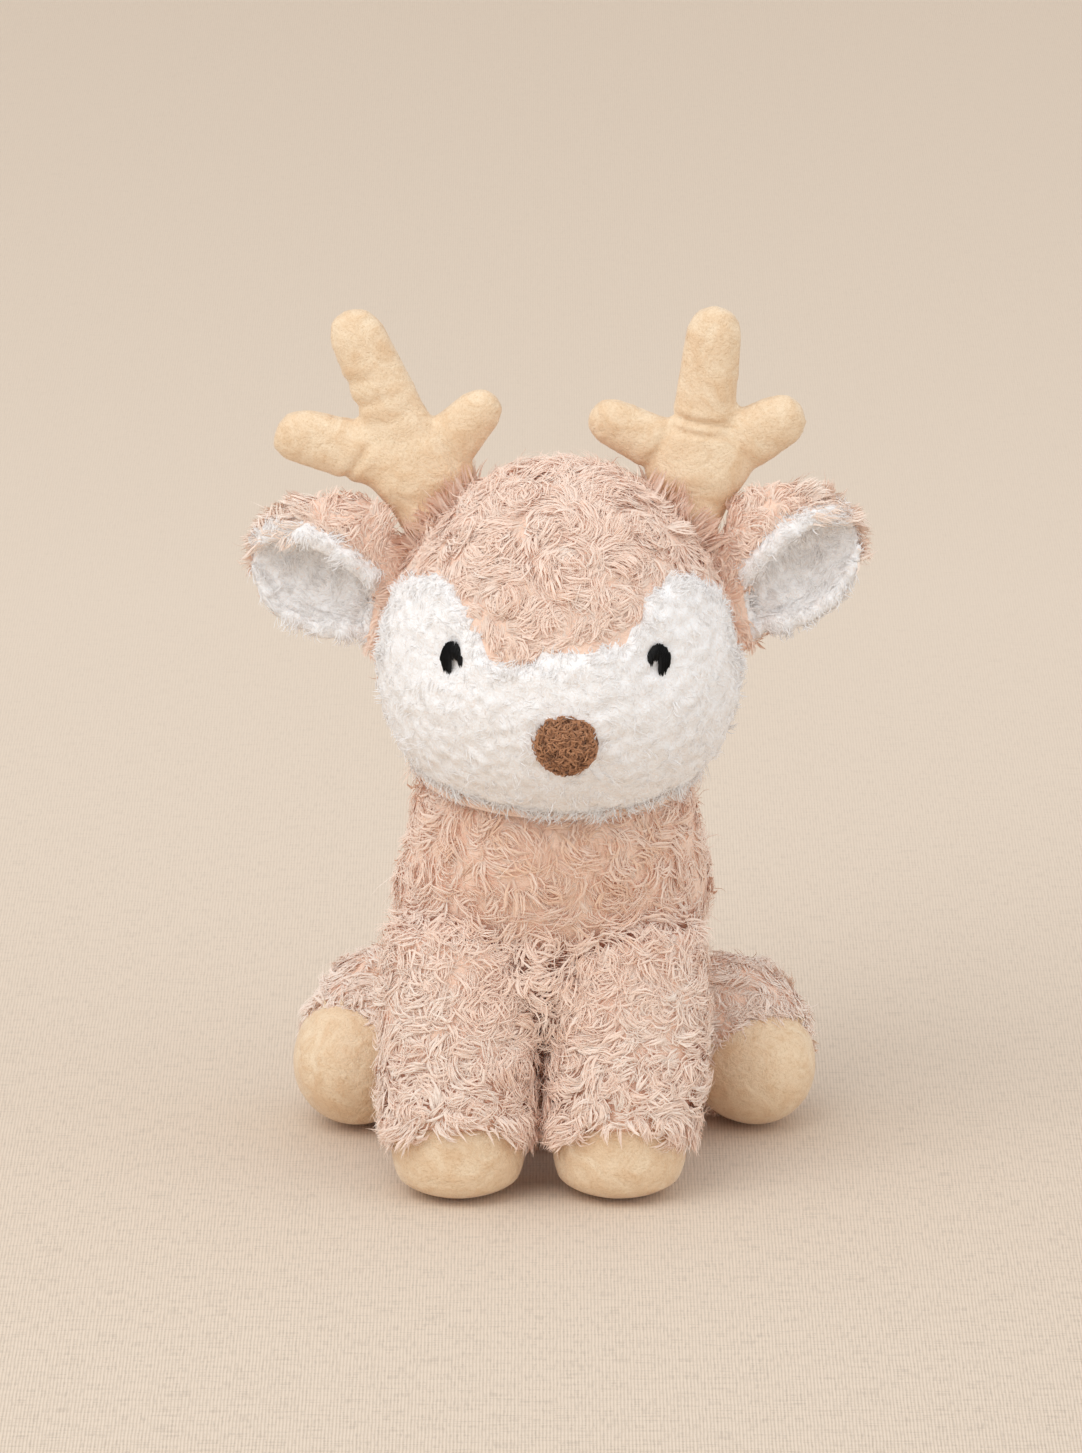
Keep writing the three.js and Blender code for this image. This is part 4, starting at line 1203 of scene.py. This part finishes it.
class DEER_OT_torso(Operator):
    """Builds the stuffed body of the torso and its pile, and the filled neck"""
    bl_idname = "deer.make_torso"
    bl_label = "Torso"

    def execute(self, context):
        neck = from_bmesh("neck_body", merged("neck_filling"), pink_backing())
        remeshed(neck, 2.5 * MM, 2)
        drawn_in(neck, 0.8 * MM, 1)
        finished(neck, "neck", "fibre_filling", "neck_filling", fill=0.7)
        body = from_bmesh("torso_body", merged(*TORSO, "torso_filling", "pellet_bag", "neck_filling"),
                          pink_backing())
        remeshed(body, 3 * MM, 8)
        drawn_in(body, FUR_DEPTH)
        points = points_of(body)
        seam = bell(points[:, 1] - 0.5 * MM, 2.5 * MM)
        stuffed(body, 3, 1.5 * MM, np.clip(seam + (points[:, 2] < 12 * MM), 0, 1))
        finished(body, "torso", "pink_plush", "torso_filling", "pellet_bag", fill=0.7)
        chin = HEAD_CENTRE - np.array([0, 0, 20]) * MM

        def comb(points):
            return down(points) + unit(points - np.array([0, 0, 0.08])) * 0.2

        # Painted shade: locks warmer and darker under the chin, where the head shades the chest, and a
        # little warmer all over; painted light: paler locks on the chest's sides.
        def shade(points):
            gap = lengths((points - chin) / (HEAD_HALF + 14 * MM))
            painted_light_sides = smoothstep((np.abs(points[:, 0]) - 26 * MM) / (18 * MM))
            return 0.28 * (1 - smoothstep((gap - 0.85) / 0.4)) - 0.3 * painted_light_sides + 0.1
        legs = tuple(f"foreleg_{side}_sleeve" for side in SIDES)
        front = coat_form("chest_form", *legs, bridge=True)
        own = panel_picker("chest_panel", among=TORSO + legs)
        with_legs = panel_picker("chest_panel", *legs, among=TORSO + legs)

        def on_chest(at):
            return np.maximum(own(at), with_legs(at) * smoothstep((at[:, 2] - 50 * MM) / (34 * MM)))
        for name, count, seed in (("chest_panel", 11800, 61), ("back_panel_left", 4900, 62),
                                  ("back_panel_right", 4900, 63), ("base_panel", 500, 64)):
            form, pick = body, panel_picker(name, among=TORSO)
            if name == "chest_panel":
                form, pick = front, on_chest
            ground = Ground(form, pick)
            high = ground.middles[:, 2]
            hidden = (off_neck(ground.middles) < 2 * MM) & (high > 137 * MM)
            ground.areas *= (1 - 0.92 * hidden) * np.where(high < 2.5 * MM + FUR_DEPTH, 0.15, 1)
            curly_pile(name.replace("_panel", "") + "_pile", "torso", name, ground, count, seed, comb,
                       shade=shade)
        between_legs = np.array([-4.5, 0, 62]) * MM
        fold = Ground(front, lambda at: lengths((at - between_legs) * ACROSS_Y) < 15 * MM)
        fold.areas *= fold.middles[:, 1] < -30 * MM
        curly_pile("chest_fold_pile", "torso", "chest_panel", fold, 1500, 65, comb,
                   shade=shade, size=0.8)
        bpy.data.objects.remove(front)
        return {"FINISHED"}


class DEER_OT_forelegs(Operator):
    """Builds the straight forelegs: a curly sleeve over a cream toe"""
    bl_idname = "deer.make_forelegs"
    bl_label = "Forelegs"

    def execute(self, context):
        tilt = np.array([0, math.sin(math.radians(11)), math.cos(math.radians(11))])
        seam = np.array([0, -52.99, 26.0]) * MM
        for side, seed in zip(SIDES, (71, 73)):
            leg = f"foreleg_{side}"
            nodes = tuple(f"{leg}_{part}" for part in ("sleeve", "hoof", "filling"))
            padded_leg(leg, nodes, 2.4 * MM, f"hoof_{side}", seam, tilt, False, 1.0 * MM, 80 * MM)
            low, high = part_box(nodes[1])
            middle = np.array((low + high) / 2)
            form = coat_form("leg_form", *nodes)
            points = points_of(form)
            mine = lengths((points - middle) * ACROSS_Z) < 34 * MM
            flared = bell(points[:, 2] - 30 * MM, 17 * MM) * mine * 3.2 * MM
            place_points(form, points + normals_of(form) * ACROSS_Z * flared[:, None])
            own, chest = tree_of(nodes[0], nodes[1]), tree_of(*TORSO)

            def above_seam(points):
                mine = gaps_to(own, points) < gaps_to(chest, points)
                front = bell(points[:, 0] - middle[0], 15 * MM, 4) * (points[:, 1] < middle[1])
                return (mine * ((points - seam) @ tilt > (6.2 * front - 6.4) * MM)
                        * (1 - 0.7 * smoothstep((points[:, 2] - 66 * MM) / (24 * MM))))

            # Painted shade: warmer, darker locks between the forelegs and up their inner sides under
            # the chest; the rest of each leg's locks are paler.
            def shade(points):
                aside = np.abs(points[:, 0] + 4 * MM)
                inner = 1 - smoothstep((aside - 6 * MM) / (12 * MM))
                upper = 1 - smoothstep((aside - 14 * MM) / (22 * MM))
                upper *= smoothstep((points[:, 2] - 45 * MM) / (30 * MM))
                return 0.3 * np.maximum(inner, upper) - 0.2

            def flare(points):
                return unit((points - middle) * ACROSS_Z) + down(points) * 1.1
            ground = Ground(form, above_seam)
            curly_pile(f"{leg}_pile", leg, nodes[0], ground, 6600, seed, down,
                       comb_share=0.35, bend=27 * MM, size=0.9, shade=shade)
            ground.areas *= (ground.middles - seam) @ tilt < 3.5 * MM
            aside = np.abs(ground.middles[:, 0] - middle[0])
            in_front = (aside < 13 * MM) & (ground.middles[:, 1] < middle[1])
            ground.areas *= np.where(in_front, 0.25, 1)
            curly_pile(f"{leg}_fringe", leg, nodes[0], ground, 1200, seed + 1, flare,
                       comb_share=3, bend=60 * MM, size=0.75, shade=shade, rise=(0.8, 0.1), curl=0.4)
            bpy.data.objects.remove(form)
        return {"FINISHED"}


# Each hind leg: its hip, the middle of its sole, the radius of the sole, in millimetres, and a seed.
HIND_LEGS = {
    "left": ((-55.405, 33.511, 29.5), (-67.305, 17.511, 22.5), 23.0, 81),
    "right": ((59.195, 33.511, 28.0), (67.695, 17.511, 21.0), 21.5, 83),
}


class DEER_OT_hind_legs(Operator):
    """Builds the stubby hind legs: a curly haunch and a rounded cream sole"""
    bl_idname = "deer.make_hind_legs"
    bl_label = "Hind legs"

    def execute(self, context):
        for side, (hip, sole, radius, seed) in HIND_LEGS.items():
            hip, sole = np.array(hip) * MM, np.array(sole) * MM
            forward = unit(sole - hip)
            seam = sole - forward * 0.1 * radius * MM
            leg = f"hind_leg_{side}"
            nodes = tuple(f"{leg}_{part}" for part in ("sleeve", "sole", "filling"))
            haunch = padded_leg(leg, nodes, 2.2 * MM, f"{leg}_sole_pad", seam, forward, True, 0.8 * MM)
            ground = Ground(haunch, lambda at: ((at - seam) @ forward < 3.2 * MM).astype(float))

            # Painted light: the haunches' locks are all made paler, as where the lamp falls on them.
            def shade(points):
                return np.full(len(points), -0.6)
            curly_pile(f"{leg}_pile", leg, nodes[0], ground, 5000, seed,
                       lambda at: down(at) + np.array([0, -0.5, 0]), bend=28 * MM, size=0.9,
                       shade=shade)
            ground.areas *= (ground.middles - seam) @ forward > -2.5 * MM
            curly_pile(f"{leg}_fringe", leg, nodes[0], ground, 700, seed + 1,
                       lambda at: np.tile(forward, (len(at), 1)), comb_share=3, bend=30 * MM, size=0.6,
                       shade=shade, rise=(0.7, 0.1), curl=0.4)
        return {"FINISHED"}


class DEER_OT_tail(Operator):
    """Builds the short tail, pink above and white beneath"""
    bl_idname = "deer.make_tail"
    bl_label = "Tail"

    def execute(self, context):
        def comb(points):
            return np.tile([0.0, 1.0, 0.1], (len(points), 1))
        halves = []
        for node, slot, material in (("tail_top", "pink_plush", pink_backing()),
                                     ("tail_underside", "white_plush", white_backing())):
            half = from_bmesh(node + "_body", merged(node), material)
            remeshed(half, 1.6 * MM)
            drawn_in(half, 2 * MM, 2)
            halves.append(finished(half, "tail", slot, node, fill=0.6))
        top = Ground(halves[0], facing_away(tree_of("tail_underside")))
        curly_pile("tail_top_pile", "tail", "tail_top", top, 1300, 91, comb, comb_share=0.9,
                   bend=14 * MM, size=0.85)
        under = Ground(halves[1], facing_away(tree_of("tail_top")))
        fleece_pile("tail_underside_fleece", "tail", "tail_underside", under, 700, 92,
                    bend=14 * MM, comb=comb)
        return {"FINISHED"}


class DEER_OT_stage(Operator):
    """Builds the pale cloth floor and backdrop, the lamps and the camera"""
    bl_idname = "deer.make_stage"
    bl_label = "Stage"

    def execute(self, context):
        look = context.scene.plush_deer.stage
        bm = bmesh.new()
        near, wall, top, round_off, half_width = -4.0, 3.6, 2.6, 0.5, 4.5
        curve = [(wall - round_off + round_off * math.sin(a), round_off - round_off * math.cos(a))
                 for a in np.linspace(0, math.pi / 2, 13)]
        verts = [bm.verts.new((-half_width, y, z)) for y, z in [(near, 0.0), *curve, (wall, top)]]
        edges = [bm.edges.new(pair) for pair in zip(verts, verts[1:])]
        swept = bmesh.ops.extrude_edge_only(bm, edges=edges)["geom"]
        far = [item for item in swept if isinstance(item, bmesh.types.BMVert)]
        bmesh.ops.translate(bm, vec=(2 * half_width, 0, 0), verts=far)
        bmesh.ops.recalc_face_normals(bm, faces=bm.faces)
        if bm.faces[:][0].normal.z < 0:
            bmesh.ops.reverse_faces(bm, faces=bm.faces)
        backdrop = from_bmesh("backdrop", bm, linen_material())
        self.lamp("key_lamp", look.key, 1.3, (-0.75, -0.85, 1.5))
        self.lamp("fill_lamp", look.fill, 1.5, (1.3, -0.8, 0.9))
        self.room(context.scene, look)
        context.scene.view_settings.view_transform = "Standard"
        context.scene.cycles.diffuse_bounces = context.scene.cycles.max_bounces = 18
        camera = bpy.data.objects.new("camera", bpy.data.cameras.new("camera"))
        context.scene.collection.objects.link(camera)
        context.scene.camera = camera
        camera.data.sensor_width = 36
        camera.data.lens = camera.data.sensor_width * look.camera_distance / look.view_height
        aim = Vector((-5.0, -3.5, 146.2)) * MM
        back = Vector((0, -math.cos(look.camera_rise), math.sin(look.camera_rise)))
        camera.location = aim + back * look.camera_distance
        camera.rotation_euler = (-back).to_track_quat("-Z", "Y").to_euler()
        return {"FINISHED"}

    def lamp(self, name, power, size, place):
        lamp = bpy.data.objects.new(name, bpy.data.lights.new(name, "AREA"))
        bpy.context.scene.collection.objects.link(lamp)
        lamp.data.energy, lamp.data.size = power, size
        lamp.location = place
        lamp.rotation_euler = (Vector((0, 0, 0.13)) - lamp.location).to_track_quat("-Z", "Y").to_euler()

    def room(self, scene, look):
        """Light from all round, in which the camera sees the backdrop's colour."""
        world = scene.world = bpy.data.worlds.new("room")
        world.use_nodes = True
        tree = world.node_tree
        sky = tree.nodes["Background"]
        sky.inputs["Color"].default_value = (0.985, 1, 1.03, 1)
        sky.inputs["Strength"].default_value = look.sky
        seen = joined(tree, "ShaderNodeBackground", ("Color", (*look.cloth, 1)), ("Strength", 0.9))
        by_camera = joined(tree, "ShaderNodeLightPath").outputs["Is Camera Ray"]
        room = joined(tree, "ShaderNodeMixShader", (0, by_camera), (1, sky.outputs[0]),
                      (2, seen.outputs[0]))
        tree.links.new(room.outputs[0], tree.nodes["World Output"].inputs[0])


class DEER_PT_pieces(Panel):
    """Lists the deer's sizes, colours and pieces"""
    bl_idname = "DEER_PT_pieces"
    bl_label = "Plush Deer"
    bl_space_type = "VIEW_3D"
    bl_region_type = "UI"
    bl_category = "Plush Deer"

    def draw(self, context):
        settings = context.scene.plush_deer
        for group in (settings.curls, settings.fleece, settings.velour, settings.trim, settings.stage):
            box = self.layout.box()
            for name in group.bl_rna.properties.keys():
                if name not in ("rna_type", "name"):
                    box.prop(group, name)
        for operator in OPERATORS:
            self.layout.operator(operator.bl_idname)


OPERATORS = (
    DEER_OT_stage, DEER_OT_head, DEER_OT_coat_head, DEER_OT_face, DEER_OT_nose, DEER_OT_eyes,
    DEER_OT_ears, DEER_OT_antlers, DEER_OT_torso, DEER_OT_forelegs, DEER_OT_hind_legs, DEER_OT_tail,
)
CLASSES = (DeerCurls, DeerFleece, DeerVelour, DeerTrim, DeerStage, DeerSettings,
           *OPERATORS, DEER_PT_pieces)


def register():
    for item in CLASSES:
        bpy.utils.register_class(item)
    bpy.types.Scene.plush_deer = PointerProperty(type=DeerSettings)


def unregister():
    del bpy.types.Scene.plush_deer
    for item in reversed(CLASSES):
        bpy.utils.unregister_class(item)


def main():
    register()
    for operator in OPERATORS:
        group, name = operator.bl_idname.split(".")
        getattr(getattr(bpy.ops, group), name)()


if __name__ == "__main__":
    main()
